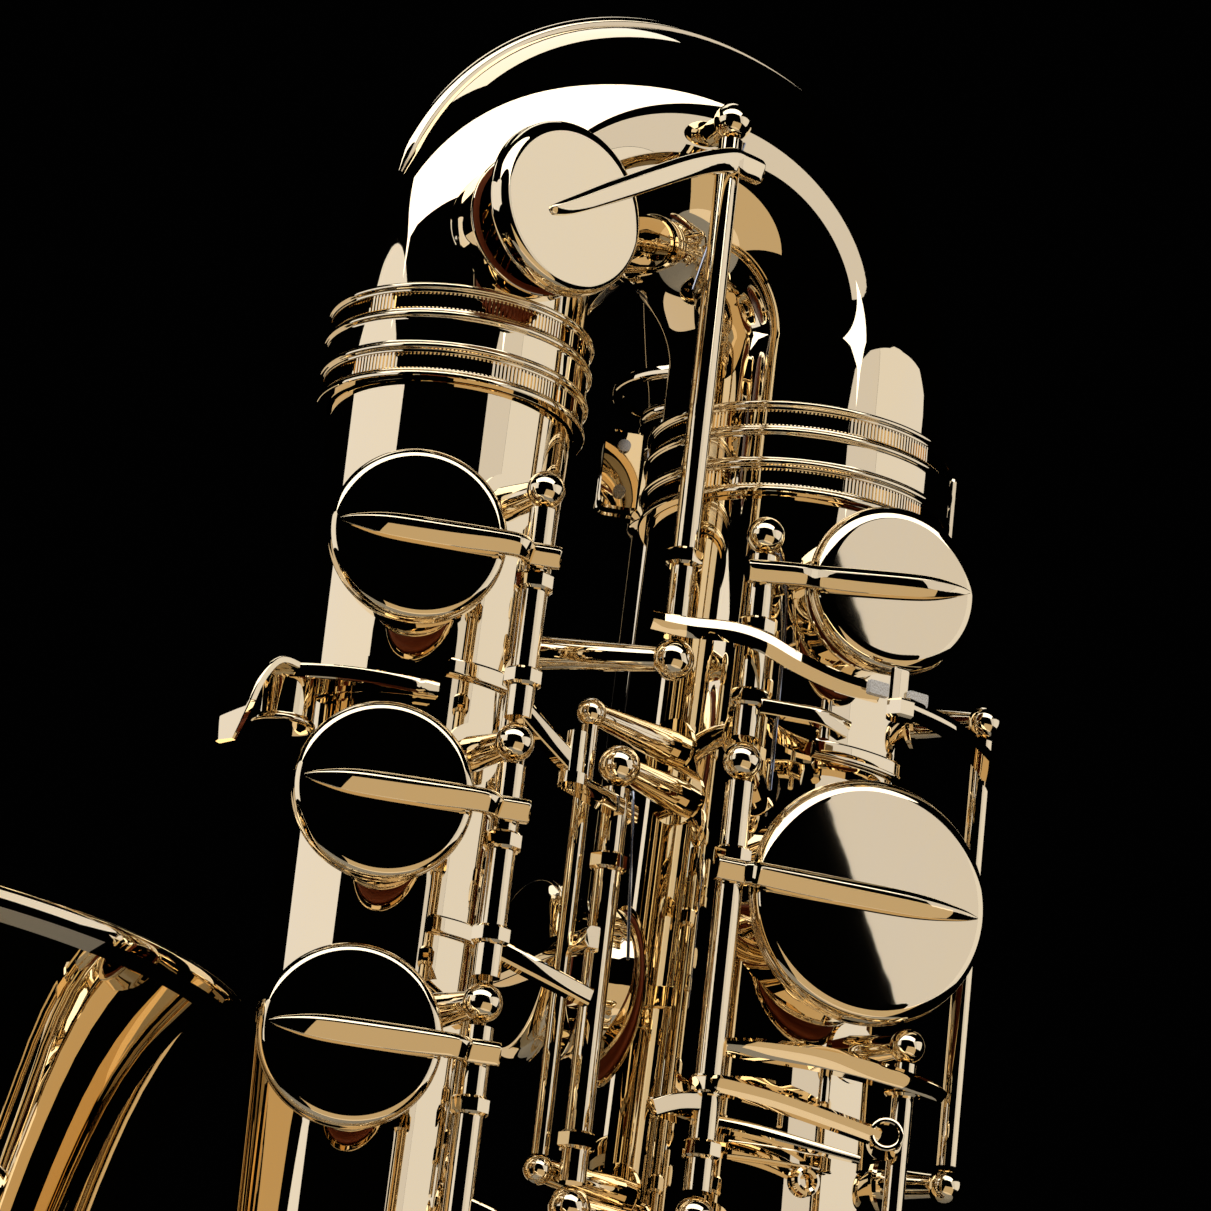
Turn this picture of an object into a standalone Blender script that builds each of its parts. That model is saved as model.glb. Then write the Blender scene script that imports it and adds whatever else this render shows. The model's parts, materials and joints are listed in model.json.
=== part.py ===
"""Bass saxophone: tubes, bows, ferrules, keys, neck and mouthpiece.

The instrument stands upright, +Z up, with its origin at the face of the peg socket under the bottom
bow. The two long legs stand in a plane along X: the climbing leg at -X, the main body at +X, the
player behind at +Y. Lengths are in millimetres, measured from a point between the two legs, and are
turned into metres from the socket when an object is made.
"""
import math

import bmesh
import bpy
from mathutils import Matrix, Vector

MM = 0.001
GAP = 0.3                    # running clearance between pieces
ROUND = 18                   # sides of the big tubes
BORE_ROUND = 10              # sides of their bores
BELL_ROUND = 24
CUP_ROUND = 14               # sides of a cup and its pad
HOLE_ROUND = 10              # sides of a tone hole
FINE_ABOVE_Z = 800.0         # keys above this height have collars and rounder cups
SHARP = math.radians(35)     # edges sharper than this stay sharp in the shading
Z_AXIS = Vector((0, 0, 1))

# Legs and upper bow
LEG_HALF = 41.25             # half the distance between the two legs
LEFT = Vector((-LEG_HALF, 0, 0))
RIGHT = Vector((LEG_HALF, 0, 0))
JOINT_Z = 994.0              # where legs and upper bow butt inside the ferrules
BOW_Z = 1014.0               # start of the upper bow's half circle
WALL = 1.5
LEFT_TOP_R, LEFT_LOW_R, LEFT_LOW_Z = 25.0, 17.0, 560.0
BODY_TOP_R, BODY_LOW_R, BODY_LOW_Z = 30.3, 46.0, 180.0

# Bell and bottom bow
BELL_AT = Vector((-160, 80, 0))
BOTTOM_BOW_Z = 172.0
BELL_RIM_R, BELL_RIM_Z = 117.0, 861.0
BELL_OUTLINE = [(57, 180), (61, 300), (66, 420), (72, 540), (79, 650), (87.5, 740), (95, 795), (103, 832),
                (BELL_RIM_R - 4, BELL_RIM_Z - 6)]

SOCKET = (BELL_AT + RIGHT) / 2 + Vector((0, 0, 12))   # foot of the peg socket, the part's origin

# Down tube, lower crook and neck; a place on the neck is (run along NECK_DIR, height)
DOWN_AT = Vector((47, 57, 0))
DOWN_TOP_Z = 1022.0
DOWN_R, DOWN_GROWS = 13.0, 2.6
CROOK_AT = Vector((0, 64, 0))
LUG_ANGLE = 158.0            # where the receiver's clamp lugs point
NECK_ANGLE = 82.0            # where the neck points
NECK_RISE = ((0, -24), (0, 1), (3, 10), (8.5, 20), (14, 32), (20, 45), (30, 57), (45, 65), (66, 69), (95, 68),
             (125, 62), (155, 50), (182, 33), (204, 14), (219, -3))
TENON_R, NECK_R, NECK_END_R = 10.7, 12.4, 8.7
NECK_ROUND = 10
OCTAVE_AT, PIP_AT = (75, DOWN_TOP_Z + 68.7), (98, DOWN_TOP_Z + 67.7)
OCTAVE_HINGE_UP = 14.2       # octave key's hinge above the neck's middle line

# Keys
RISE = 5.0                   # tone hole rim above the tube's skin
PAD_T = 3.4
LOW_HINGE_R = 14.0           # how far the lower stack's hinge stands outside the skin
TOUCHES = ("key_stack_3", "key_stack_4", "key_stack_5", "key_stack_6")
TOUCH_ANGLE, TOUCH_OUT, TOUCH_R = -97, Vector((-15.5, -3.5, 0)), 8.0
TOP_ANGLE, TOP_CUP, TOP_OPENING = 6.0, 17.7, 10      # the key at the foot of the upper bow
TOP_HINGE = Vector((-2.0, -34.0, 0))
TOP_SPAN = (1047.6, 939.6)

def left_r(z):
    """Outer radius of the climbing leg at height z."""
    t = (z - LEFT_LOW_Z) / (JOINT_Z - LEFT_LOW_Z)
    return LEFT_LOW_R + (LEFT_TOP_R - LEFT_LOW_R) * t


def body_r(z):
    """Outer radius of the main body at height z."""
    t = (z - BODY_LOW_Z) / (JOINT_Z - BODY_LOW_Z)
    return BODY_LOW_R + (BODY_TOP_R - BODY_LOW_R) * t


def bell_r(z):
    """Outer radius of the bell at height z."""
    for (low_r, low_z), (high_r, high_z) in zip(BELL_OUTLINE, BELL_OUTLINE[1:]):
        if z <= high_z:
            return low_r + (high_r - low_r) * (z - low_z) / (high_z - low_z)
    return BELL_RIM_R


def spoke(degrees, up=0.0):
    """Unit direction in the XY plane."""
    a = math.radians(degrees)
    return Vector((math.cos(a), math.sin(a), up))


# Hinge lines and the table of keys: the tube that a key closes, height, radius and angle of its cup,
# its hinge, the ends of its hinge tube, how far it stands open, and a lever's points as (z, x, y)
LEFT_HINGE = LEFT + spoke(-82) * 38
BODY_HINGE = Vector((12.0, -41.0, 0))
SIDE_HINGE = Vector((-6.0, -24.0, 0))
OUTER_HINGE = RIGHT + spoke(-50) * 46
NECK_DIR, NECK_ACROSS = spoke(NECK_ANGLE), spoke(NECK_ANGLE - 90)

KEYS = {
    "key_palm_1": dict(leg="left", z=946, cup=17.3, angle=-121, hinge=LEFT_HINGE, span=(956.2, 913.8),
                       opening=13, lever=((915.5, 0, 0), (906, 10, -1), (903.5, 16.5, -1.5))),
    "key_palm_2": dict(leg="left", z=895, cup=17.3, angle=-121, hinge=LEFT_HINGE, span=(904.2, 862.8),
                       opening=13, lever=((867.0, 0, 0), (864, 9, -2), (861.0, 20, -3))),
    "key_palm_3": dict(leg="left", z=848, cup=17.3, angle=-121, hinge=LEFT_HINGE, span=(853.2, 806.8),
                       opening=13, lever=((818.0, 0, 0), (815.5, 8, -2), (812.5, 15, -3))),
    "key_stack_1": dict(leg="body", z=958, cup=17.5, angle=-91, hinge=BODY_HINGE, span=(958.4, 920.6),
                        opening=-11, lever=None),
    "key_stack_2": dict(leg="body", z=893, cup=24.5, angle=-90, hinge=BODY_HINGE, span=(911.4, 830.6),
                        opening=-11, lever=((846.0, 0, 0), (845, -6, 0), (843, -11, 0))),
    "key_side_1": dict(leg="body", z=878, cup=19.0, angle=166, hinge=SIDE_HINGE, span=(909.2, 830.8),
                       opening=9, lever=((903.0, 3, 1.5), (904, -6, -4), (905.5, -11, -9.5))),
}
LOWER_STACK = (("key_stack_3", 784, 24.0), ("key_stack_4", 715, 25.0), ("key_stack_5", 644, 26.0),
               ("key_stack_6", 571, 27.0), ("key_low_d", 496, 28.0), ("key_low_c", 418, 29.5))
for _name, _z, _cup in LOWER_STACK:
    KEYS[_name] = dict(leg="body", z=_z, cup=_cup, angle=-88,
                       hinge=RIGHT + spoke(-128) * (body_r(_z) + LOW_HINGE_R + 3),
                       span=(_z + _cup - 1, _z - _cup + 1), opening=-10, lever=None)
BELL_KEYS = (("key_low_b", 470, 31.0), ("key_low_bflat", 610, 33.0))
BELL_KEY_ANGLE, BELL_HINGE_ANGLE, BELL_HINGE_OUT, BELL_POST = -112, -62, 16, 30.4
for _name, _z, _cup in BELL_KEYS:
    KEYS[_name] = dict(leg="bell", z=_z, cup=_cup, angle=BELL_KEY_ANGLE,
                       hinge=BELL_AT + spoke(BELL_HINGE_ANGLE) * (bell_r(_z) + BELL_HINGE_OUT),
                       span=(_z + 26, _z - 26), opening=7, lever=None)


# Scene and materials


def clear_scene():
    for obj in list(bpy.data.objects):
        bpy.data.objects.remove(obj, do_unlink=True)


def collection(name):
    made = bpy.data.collections.new(name)
    bpy.context.scene.collection.children.link(made)
    return made


def material(name, colour, roughness, metallic):
    made = bpy.data.materials.new(name)
    made.use_nodes = True
    shader = made.node_tree.nodes["Principled BSDF"]
    shader.inputs["Base Color"].default_value = (*colour, 1)
    shader.inputs["Roughness"].default_value = roughness
    shader.inputs["Metallic"].default_value = metallic
    return made


clear_scene()
PART = collection("bass_saxophone")
CUTTERS = collection("cutters")
CUTTERS.hide_render = True
LACQUER = material("gold_lacquer", (0.80, 0.58, 0.30), 0.08, 1.0)
STEEL = material("blued_steel", (0.35, 0.38, 0.45), 0.25, 1.0)
PAD = material("pad_leather", (0.30, 0.06, 0.02), 0.6, 0.0)
EBONITE = material("ebonite", (0.02, 0.02, 0.02), 0.2, 0.0)
CANE = material("cane", (0.78, 0.62, 0.36), 0.6, 0.0)
CORK = material("cork", (0.52, 0.36, 0.20), 0.8, 0.0)
PEARL = material("pearl", (0.85, 0.84, 0.80), 0.2, 0.0)


# Mesh builders


def evaluated(obj):
    """The object's mesh after its modifiers, welded, as a bmesh; the object itself goes."""
    graph = bpy.context.evaluated_depsgraph_get()
    data = bpy.data.meshes.new_from_object(obj.evaluated_get(graph))
    data.transform(obj.matrix_world)
    mesh = bmesh.new()
    mesh.from_mesh(data)
    bmesh.ops.remove_doubles(mesh, verts=mesh.verts, dist=0.0001)
    bmesh.ops.recalc_face_normals(mesh, faces=mesh.faces)
    bpy.data.objects.remove(obj, do_unlink=True)
    bpy.data.meshes.remove(data)
    return mesh


def skin(rings):
    """Loft through rings of points, closed by a face at each end."""
    mesh = bmesh.new()
    rows = [[mesh.verts.new(p) for p in ring] for ring in rings]
    for low, high in zip(rows, rows[1:]):
        for i in range(len(low)):
            j = (i + 1) % len(low)
            mesh.faces.new((low[i], low[j], high[j], high[i]))
    mesh.faces.new(rows[0][::-1])
    mesh.faces.new(rows[-1])
    bmesh.ops.recalc_face_normals(mesh, faces=mesh.faces)
    return mesh


def pipe(path, radii, sides=ROUND):
    """Round bar along a path, with its own radius at each point: a bevelled POLY curve."""
    curve = bpy.data.curves.new("pipe", "CURVE")
    curve.dimensions = "3D"
    curve.bevel_depth = 1.0
    curve.bevel_resolution = sides // 2 - 2
    curve.use_fill_caps = True
    spline = curve.splines.new("POLY")
    spline.points.add(len(path) - 1)
    for point, place, radius in zip(spline.points, path, radii):
        point.co = (*place, 1)
        point.radius = radius
    obj = bpy.data.objects.new("pipe", curve)
    CUTTERS.objects.link(obj)
    mesh = evaluated(obj)
    bpy.data.curves.remove(curve)
    return mesh


def lathe(profile, at, axis=Z_AXIS, count=ROUND, closed=False):
    """Turned piece: a profile of (radius, height) points swept by a Screw about axis through at."""
    outline = list(profile)
    if not closed:
        outline = [(0, outline[0][1])] + outline + [(0, outline[-1][1])]
    data = bpy.data.meshes.new("profile")
    edges = [(i, i + 1) for i in range(len(outline) - 1)]
    if closed:
        edges.append((len(outline) - 1, 0))
    data.from_pydata([(r, 0, h) for r, h in outline], edges, [])
    obj = bpy.data.objects.new("profile", data)
    CUTTERS.objects.link(obj)
    turn = Z_AXIS.rotation_difference(Vector(axis).normalized())
    obj.matrix_world = Matrix.Translation(Vector(at)) @ turn.to_matrix().to_4x4()
    screw = obj.modifiers.new("turn", "SCREW")
    screw.steps = screw.render_steps = count
    screw.use_merge_vertices = True
    screw.merge_threshold = 0.0001
    mesh = evaluated(obj)
    bpy.data.meshes.remove(data)
    return mesh


def bar(path, sizes, up, sides="flat"):
    """Bar along a path. sizes are (width, thickness); up is its broad side's normal."""
    path = [Vector(p) for p in path]
    up = Vector(up).normalized()
    if sides == "ridge":
        shape = [(-0.5, 0.0), (-0.36, 0.55), (0.0, 0.95), (0.36, 0.55), (0.5, 0.0)]
    else:
        shape = [(-0.5, 0.0), (-0.5, 0.8), (-0.35, 1), (0.35, 1), (0.5, 0.8), (0.5, 0.0)]
    rings = []
    for i, (p, (wide, thick)) in enumerate(zip(path, sizes)):
        a, b = path[max(i - 1, 0)], path[min(i + 1, len(path) - 1)]
        t = (b - a).normalized()
        across = t.cross(up).normalized()
        top = across.cross(t).normalized()
        rings.append([p + across * (x * wide) + top * (y * thick) for x, y in shape])
    return skin(rings)


def join(*meshes):
    """One bmesh from several that don't touch each other."""
    made = bmesh.new()
    for mesh in meshes:
        data = bpy.data.meshes.new("join")
        mesh.to_mesh(data)
        mesh.free()
        made.from_mesh(data)
        bpy.data.meshes.remove(data)
    return made


def arc(centre, start, axis, degrees, steps):
    """Points of an arc about centre from start, turned about axis."""
    turns = [Matrix.Rotation(math.radians(degrees * i / steps), 3, axis) for i in range(steps + 1)]
    return [centre + turn @ (start - centre) for turn in turns]


# Objects


def add(name, mesh, look, at=(0, 0, 0), parent=None, where=None):
    """Object from a bmesh in world millimetres, with its origin at a point."""
    at = Vector(at)
    data = bpy.data.meshes.new(name)
    bmesh.ops.translate(mesh, verts=mesh.verts, vec=-at)
    bmesh.ops.scale(mesh, verts=mesh.verts, vec=(MM, MM, MM))
    mesh.to_mesh(data)
    mesh.free()
    data.shade_smooth()
    data.set_sharp_from_angle(angle=SHARP)
    obj = bpy.data.objects.new(name, data)
    (where or PART).objects.link(obj)
    if look:
        data.materials.append(look)
    if parent:
        obj.parent = parent
    else:
        obj.location = (at - SOCKET) * MM
    return obj


def boolean(obj, operation, mesh, at=(0, 0, 0), label="tool"):
    """Live Boolean with a tool kept in the cutters collection."""
    inside = operation != "DIFFERENCE"
    tool = add(f"{obj.name}_{label}", mesh, obj.data.materials[0] if inside else None, at,
               where=CUTTERS)
    tool.display_type = "WIRE"
    tool.hide_render = True
    if obj.get("moving"):
        tool.parent = obj
        tool.location = (0, 0, 0)
    step = obj.modifiers.new(label, "BOOLEAN")
    step.operation = operation
    step.solver = "EXACT"
    step.object = tool
    return tool


def post_mesh(base, hinge, radius, stem=(3.4, 2.0), flange=5.6, sink=1.1, sides=8):
    """Post from a tube's skin to a ball on a hinge line: flange, tapered stem and ball in one skin."""
    base, hinge = Vector(base), Vector(hinge)
    axis = (hinge - base).normalized()
    length = (hinge - base).length
    profile = [(flange, -sink), (flange, 0.9), (stem[0], 1.3)]
    low = math.asin(min(stem[1] / radius, 0.95)) - math.pi / 2
    rows = 3 if sides > 6 else 2
    for i in range(rows + 1):
        a = low + (1.15 - low) * i / rows
        profile.append((radius * math.cos(a), length + radius * math.sin(a)))
    return lathe(profile, base, axis, count=sides)


def post_on(axis_at, skin_r, hinge, radius=4.0, **more):
    """Post that stands on the tube around axis_at, in the plane of its hinge."""
    hinge = Vector(hinge)
    out = Vector((hinge.x - axis_at.x, hinge.y - axis_at.y, 0)).normalized()
    base = Vector((axis_at.x, axis_at.y, hinge.z)) + out * skin_r
    return post_mesh(base, hinge, radius, **more)


def chimney(centre, normal, skin_r, plane, radius):
    """Solid of a tone hole's rim from inside the tube to its flat top."""
    start = skin_r * 0.55
    return lathe([(radius, start), (radius, plane)], centre, normal, count=HOLE_ROUND)


def hole(centre, normal, radius, far):
    return lathe([(radius, 1.0), (radius, far + 2)], centre, normal, count=HOLE_ROUND)


# Keys


def key_frame(spec):
    """Axis point, tube radius, cup normal and the height of the tone hole's flat top."""
    if spec["leg"] == "left":
        axis_at, radius = LEFT, left_r(spec["z"])
    elif spec["leg"] == "bell":
        axis_at, radius = BELL_AT, bell_r(spec["z"])
    else:
        axis_at, radius = RIGHT, body_r(spec["z"])
    centre = Vector((axis_at.x, axis_at.y, spec["z"]))
    return centre, radius, spoke(spec["angle"]), radius + RISE


def cup_mesh(centre, normal, plane, radius, count=CUP_ROUND):
    """Key cup: flat top inside a fine rim, and a skirt round the pad."""
    low = plane + GAP + 1.3
    top = plane + GAP + PAD_T + 0.1
    profile = [(radius - 1.0, top), (radius - 1.0, low), (radius, low + 0.5), (radius, top + 1.5),
               (radius - 0.7, top + 2.1), (radius - 1.3, top + 1.7)]
    return lathe(profile, centre, normal, count=count)


def pad_mesh(centre, normal, plane, radius, count=CUP_ROUND):
    low = plane + GAP
    profile = [(radius - 1.6, low), (radius - 1.25, low + PAD_T)]
    return lathe(profile, centre, normal, count=count)


def hinge_tube(at, top, low, radius=2.7, collars=True, count=8):
    """Hinge tube with a collar at each end, which bears against the posts' balls."""
    profile = [(radius, low), (radius, top)]
    if collars:
        collar, rise = radius + 0.7, 3.0
        profile = [(collar - 0.6, low), (collar, low + 0.5), (collar, low + rise), (radius, low + rise),
                   (radius, top - rise), (collar, top - rise), (collar, top - 0.5), (collar - 0.6, top)]
    return lathe(profile, Vector((at.x, at.y, 0)), count=count)


def arm_mesh(hinge, centre, normal, lift, reach, z_hinge):
    """Ridged arm from the hinge over the cup to a point past its middle."""
    start = Vector((hinge.x, hinge.y, z_hinge))
    over = centre + normal * lift
    line = over - start
    flat = (line - normal * line.dot(normal)).normalized()
    edge = over - flat * reach
    tip = over + flat * (reach * 0.86)
    lifted = start + normal * min(max((over - start).dot(normal), 0.0) * 0.6, 1.0)
    path = [lifted - flat * 3.2, lifted + flat * 3.0, edge.lerp(lifted, 0.35) + normal * 0.6,
            edge + normal * 0.5, over.lerp(edge, 0.5), over.lerp(tip, 0.3), tip]
    sizes = [(4.6, 2.2), (5.2, 2.8), (4.2, 2.8), (4.6, 3.0), (5.0, 3.0), (4.0, 2.6), (0.9, 0.8)]
    return bar(path, sizes, normal, "ridge")


def make_key(name, spec):
    centre, radius, normal, plane = key_frame(spec)
    hinge = spec["hinge"]
    top, low = spec["span"]
    at = Vector((hinge.x, hinge.y, centre.z))
    upper = centre.z > FINE_ABOVE_Z
    count = CUP_ROUND if upper else CUP_ROUND - 4
    key = add(name, hinge_tube(hinge, top, low, collars=upper, count=8 if upper else 6), LACQUER, at)
    key["moving"] = True
    boolean(key, "UNION", cup_mesh(centre, normal, plane, spec["cup"], count), at, "cup")
    lift = plane + GAP + PAD_T + 1.5
    z_hinge = min(max(centre.z, low + 4), top - 4)
    arm = arm_mesh(hinge, centre, normal, lift, spec["cup"] * 0.98, z_hinge)
    boolean(key, "UNION", arm, at, "arm")
    if spec.get("lever"):
        path = before_opening([hinge + Vector((x, y, z)) for z, x, y in spec["lever"]], hinge,
                              spec["opening"])
        boolean(key, "UNION", bar(path, [(4.6, 2.2)] * len(path), Z_AXIS), at, "lever")
    pad = pad_mesh(centre, normal, plane, spec["cup"], count)
    add(name.replace("key_", "pad_"), pad, PAD, at, parent=key)
    if name in TOUCHES:
        make_touch(key, name.replace("key_", "pearl_"), at)
    key.rotation_euler = (0, 0, math.radians(spec["opening"]))


def make_touch(key, name, at):
    """Finger touch on the far side of the hinge: a short arm, a holder and its pearl."""
    facing = spoke(TOUCH_ANGLE)
    middle = at + TOUCH_OUT
    path = [at + Vector((0.5, 0, -9)), at + TOUCH_OUT * 0.5 - Z_AXIS * 5, middle - facing * 0.8]
    boolean(key, "UNION", bar(path, [(4.6, 2.2)] * 3, facing), at, "touch_arm")
    outline = [(TOUCH_R - 1.5, 0), (TOUCH_R, 1.2), (TOUCH_R, 3.2), (TOUCH_R - 0.9, 3.2), (TOUCH_R - 0.9, 1.8)]
    holder = lathe(outline, middle, facing, count=8)
    boolean(key, "UNION", holder, at, "touch")
    pearl = lathe([(TOUCH_R - 1.2, 2.1), (TOUCH_R - 1.2, 3.0), (TOUCH_R * 0.5, 3.9)], middle, facing, count=8)
    add(name, pearl, PEARL, at, parent=key)


# Tubes


def turned_tube(name, axis_at, stations, posts, rims_made, holes):
    """Conical tube: a solid cone with posts and tone hole rims fused on, then bored."""
    at = Vector((axis_at.x, axis_at.y, 0))
    outer = lathe([(r, z) for z, r in stations], at)
    tube = add(name, outer, LACQUER, at)
    boolean(tube, "UNION", join(*rims_made), at, "rims")
    boolean(tube, "UNION", join(*posts), at, "posts")
    bore = [(r - WALL, z) for z, r in stations]
    bore[0] = (bore[0][0], bore[0][1] - 5)
    bore[-1] = (bore[-1][0], bore[-1][1] + 5)
    boolean(tube, "DIFFERENCE", lathe(bore, at, count=BORE_ROUND), at, "bore")
    boolean(tube, "DIFFERENCE", join(*holes), at, "tone_holes")


def rims(leg):
    """Tone hole rims and holes of one leg."""
    add_list, hole_list = [], []
    for spec in KEYS.values():
        if spec["leg"] != leg:
            continue
        centre, radius, normal, plane = key_frame(spec)
        add_list.append(chimney(centre, normal, radius, plane, spec["cup"] - 3.0))
        hole_list.append(hole(centre, normal, spec["cup"] - 4.2, plane))
    return add_list, hole_list


def make_left_leg():
    posts = [post_on(LEFT, left_r(z), LEFT_HINGE + Z_AXIS * z) for z in (960.5, 909.0, 858.0, 802.0)]
    far = Vector((-2.0, -34.0, 935.0))
    out = Vector((far.x - LEFT.x, far.y - LEFT.y, 0)).normalized()
    posts.append(post_mesh(Vector((LEFT.x, LEFT.y, 935.0)) + out * left_r(935), far, 4.2, stem=(3.6, 2.3)))
    add_list, hole_list = rims("left")
    stations = [(LEFT_LOW_Z, LEFT_LOW_R), (JOINT_Z - 0.1, LEFT_TOP_R)]
    turned_tube("climbing_leg", LEFT, stations, posts, add_list, hole_list)


def make_body():
    posts = [post_on(RIGHT, body_r(z), BODY_HINGE + Z_AXIS * z) for z in (963.0, 916.0, 826.0)]
    for z in (914.0, 826.0):
        posts.append(post_on(RIGHT, body_r(z), SIDE_HINGE + Z_AXIS * z, radius=4.2, stem=(4.2, 2.6)))
    for z in (939.0, 843.0):
        posts.append(post_on(RIGHT, body_r(z), OUTER_HINGE + Z_AXIS * z, radius=3.6))
    for name, _z, _cup in LOWER_STACK:
        spec = KEYS[name]
        for z in (spec["span"][0] + 4.6, spec["span"][1] - 4.6):
            posts.append(post_on(RIGHT, body_r(z), spec["hinge"] + Z_AXIS * z, flange=5.2, sides=6))
    add_list, hole_list = rims("body")
    stations = [(BODY_LOW_Z + 0.1, BODY_LOW_R), (JOINT_Z - 0.1, BODY_TOP_R)]
    turned_tube("main_body", RIGHT, stations, posts, add_list, hole_list)


def bow_point(degrees):
    a = math.radians(degrees)
    return Vector((-LEG_HALF * math.cos(a), 0, BOW_Z + LEG_HALF * math.sin(a)))


def bow_r(degrees):
    return LEFT_TOP_R + 0.2 + (BODY_TOP_R - LEFT_TOP_R - 0.2) * degrees / 180


def make_upper_bow():
    steps = [180 * i / 11 for i in range(12)]
    path = [Vector((-LEG_HALF, 0, JOINT_Z + 0.1))] + [bow_point(d) for d in steps]
    path.append(Vector((LEG_HALF, 0, JOINT_Z + 0.1)))
    radii = [LEFT_TOP_R] + [bow_r(d) for d in steps] + [BODY_TOP_R]
    bow = add("upper_bow", pipe(path, radii), LACQUER)
    centre, skin_r = bow_point(TOP_ANGLE), bow_r(TOP_ANGLE)
    normal = Vector((0, -1, 0))
    plane = skin_r + RISE
    top_post = post_mesh(Vector((-2.0, -27.0, 1052.0)), Vector((-2.0, -34.0, 1052.0)), 4.0,
                         flange=5.0, sink=2.5)
    boolean(bow, "UNION", join(chimney(centre, normal, skin_r, plane, TOP_CUP - 3.0), top_post),
            label="posts")
    path = [path[0] - Z_AXIS * 5] + path[1:-1] + [path[-1] - Z_AXIS * 5]
    boolean(bow, "DIFFERENCE", pipe(path, [r - WALL for r in radii], BORE_ROUND), label="bore")
    boolean(bow, "DIFFERENCE", hole(centre, normal, TOP_CUP - 4.2, plane), label="tone_hole")


def make_bow_guard():
    """Wire along the bow's crest that keeps it from dents, with a foot pressed on at each end."""
    lean = math.radians(20)
    path = []
    for i in range(15):
        degrees = 14 + 8.8 * i
        centre = bow_point(degrees)
        out = (centre - Vector((0, 0, BOW_Z))).normalized() * math.cos(lean) - Vector((0, math.sin(lean), 0))
        path.append(centre + out * (bow_r(degrees) + 1.7))
    add("bow_guard", pipe(path, [1.3] * len(path), 6), LACQUER)


def make_key_guard(name, key):
    """Guard over a bell key: a ring on three feet that stand on the bell."""
    spec = KEYS[key]
    centre, radius, normal, plane = key_frame(spec)
    cup, lift = spec["cup"], plane + 21.5
    ring = [(cup * 0.50, lift), (cup * 0.66, lift), (cup * 0.66, lift + 2), (cup * 0.50, lift + 2)]
    guard = add(name, lathe(ring, centre, normal, count=12, closed=True), LACQUER, centre)
    across = normal.cross(Z_AXIS)
    feet = []
    for degrees in (90, 210, 330):
        a = math.radians(degrees)
        out = Z_AXIS * math.sin(a) + across * math.cos(a)
        reach = cup + 8
        foot_z = centre.z + out.z * reach
        side = across * (math.cos(a) * reach)
        skin_r = bell_r(foot_z) + 0.5
        down = math.sqrt(skin_r ** 2 - side.length ** 2)
        foot = centre + side + Z_AXIS * (foot_z - centre.z) + normal * down
        knee = centre + out * (reach - 1) + normal * (lift - 3)
        inner = centre + out * (cup * 0.58) + normal * (lift + 0.2)
        leg = [inner, knee, foot + normal * 0.4]
        feet.append(bar(leg, [(6, 1.6), (6, 1.8), (8, 1.8)], normal + out * 0.6))
    boolean(guard, "UNION", join(*feet), centre, "feet")


def before_opening(points, hinge, opening):
    """Points given as the key stands open, turned back to where they are when it is closed."""
    turn = Matrix.Rotation(math.radians(-opening), 3, "Z")
    return [hinge + turn @ (Vector(p) - hinge) for p in points]


def make_top_key():
    centre, skin_r = bow_point(TOP_ANGLE), bow_r(TOP_ANGLE)
    normal = Vector((0, -1, 0))
    plane = skin_r + RISE
    at = Vector((TOP_HINGE.x, TOP_HINGE.y, 1000))
    key = add("key_bow", hinge_tube(TOP_HINGE, *TOP_SPAN, radius=2.5), LACQUER, at)
    key["moving"] = True
    boolean(key, "UNION", cup_mesh(centre, normal, plane, TOP_CUP), at, "cup")
    over = centre + normal * (plane + GAP + PAD_T + 1.5)
    start = Vector((TOP_HINGE.x, TOP_HINGE.y - 1.5, 1041.0))
    path = [start + Vector((5, 0, 1)), start - Vector((4, 0, 0)), start.lerp(over, 0.35) - Vector((0, 2, -3)),
            start.lerp(over, 0.7) - Vector((0, 1, -1.5)), over, over + (over - start).normalized() * 6]
    sizes = [(6.5, 3.0), (6.5, 3.0), (5.5, 2.8), (5.5, 3.0), (3.4, 2.4), (1.0, 0.8)]
    boolean(key, "UNION", bar(path, sizes, normal, "ridge"), at, "arm")
    reach = [(-7, -35.2, 946), (0, -36.4, 945.4), (5, -45.0, 944.4), (9, -48.5, 943.5),
             (16, -49.5, 941.6), (30, -52.5, 937), (42, -54.5, 933)]
    reach = before_opening(reach, TOP_HINGE, TOP_OPENING)
    boolean(key, "UNION", bar(reach, [(3.0, 3.2)] + [(3.4, 2.4)] * 5 + [(5.0, 2.4)], (0, 0, 1)), at,
            "lever")
    add("pad_bow", pad_mesh(centre, normal, plane, TOP_CUP), PAD, at, parent=key)
    key.rotation_euler = (0, 0, math.radians(TOP_OPENING))


def ferrule(name, at, z, radius):
    """Turned sleeve over a tube joint: two beads between two milled bands."""
    inner = radius + 0.15
    r = radius
    profile = [(inner, z), (r + 2.4, z), (r + 1.7, z + 1.2), (r + 1.7, z + 5.6), (r + 2.6, z + 6.5),
               (r + 1.8, z + 7.4), (r + 1.8, z + 12.6), (r + 2.6, z + 13.5), (r + 1.7, z + 14.4),
               (r + 1.7, z + 18.6), (r + 2.4, z + 19.4), (inner, z + 20.4)]
    add(name, lathe(profile, at, closed=True), LACQUER, at)


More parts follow.
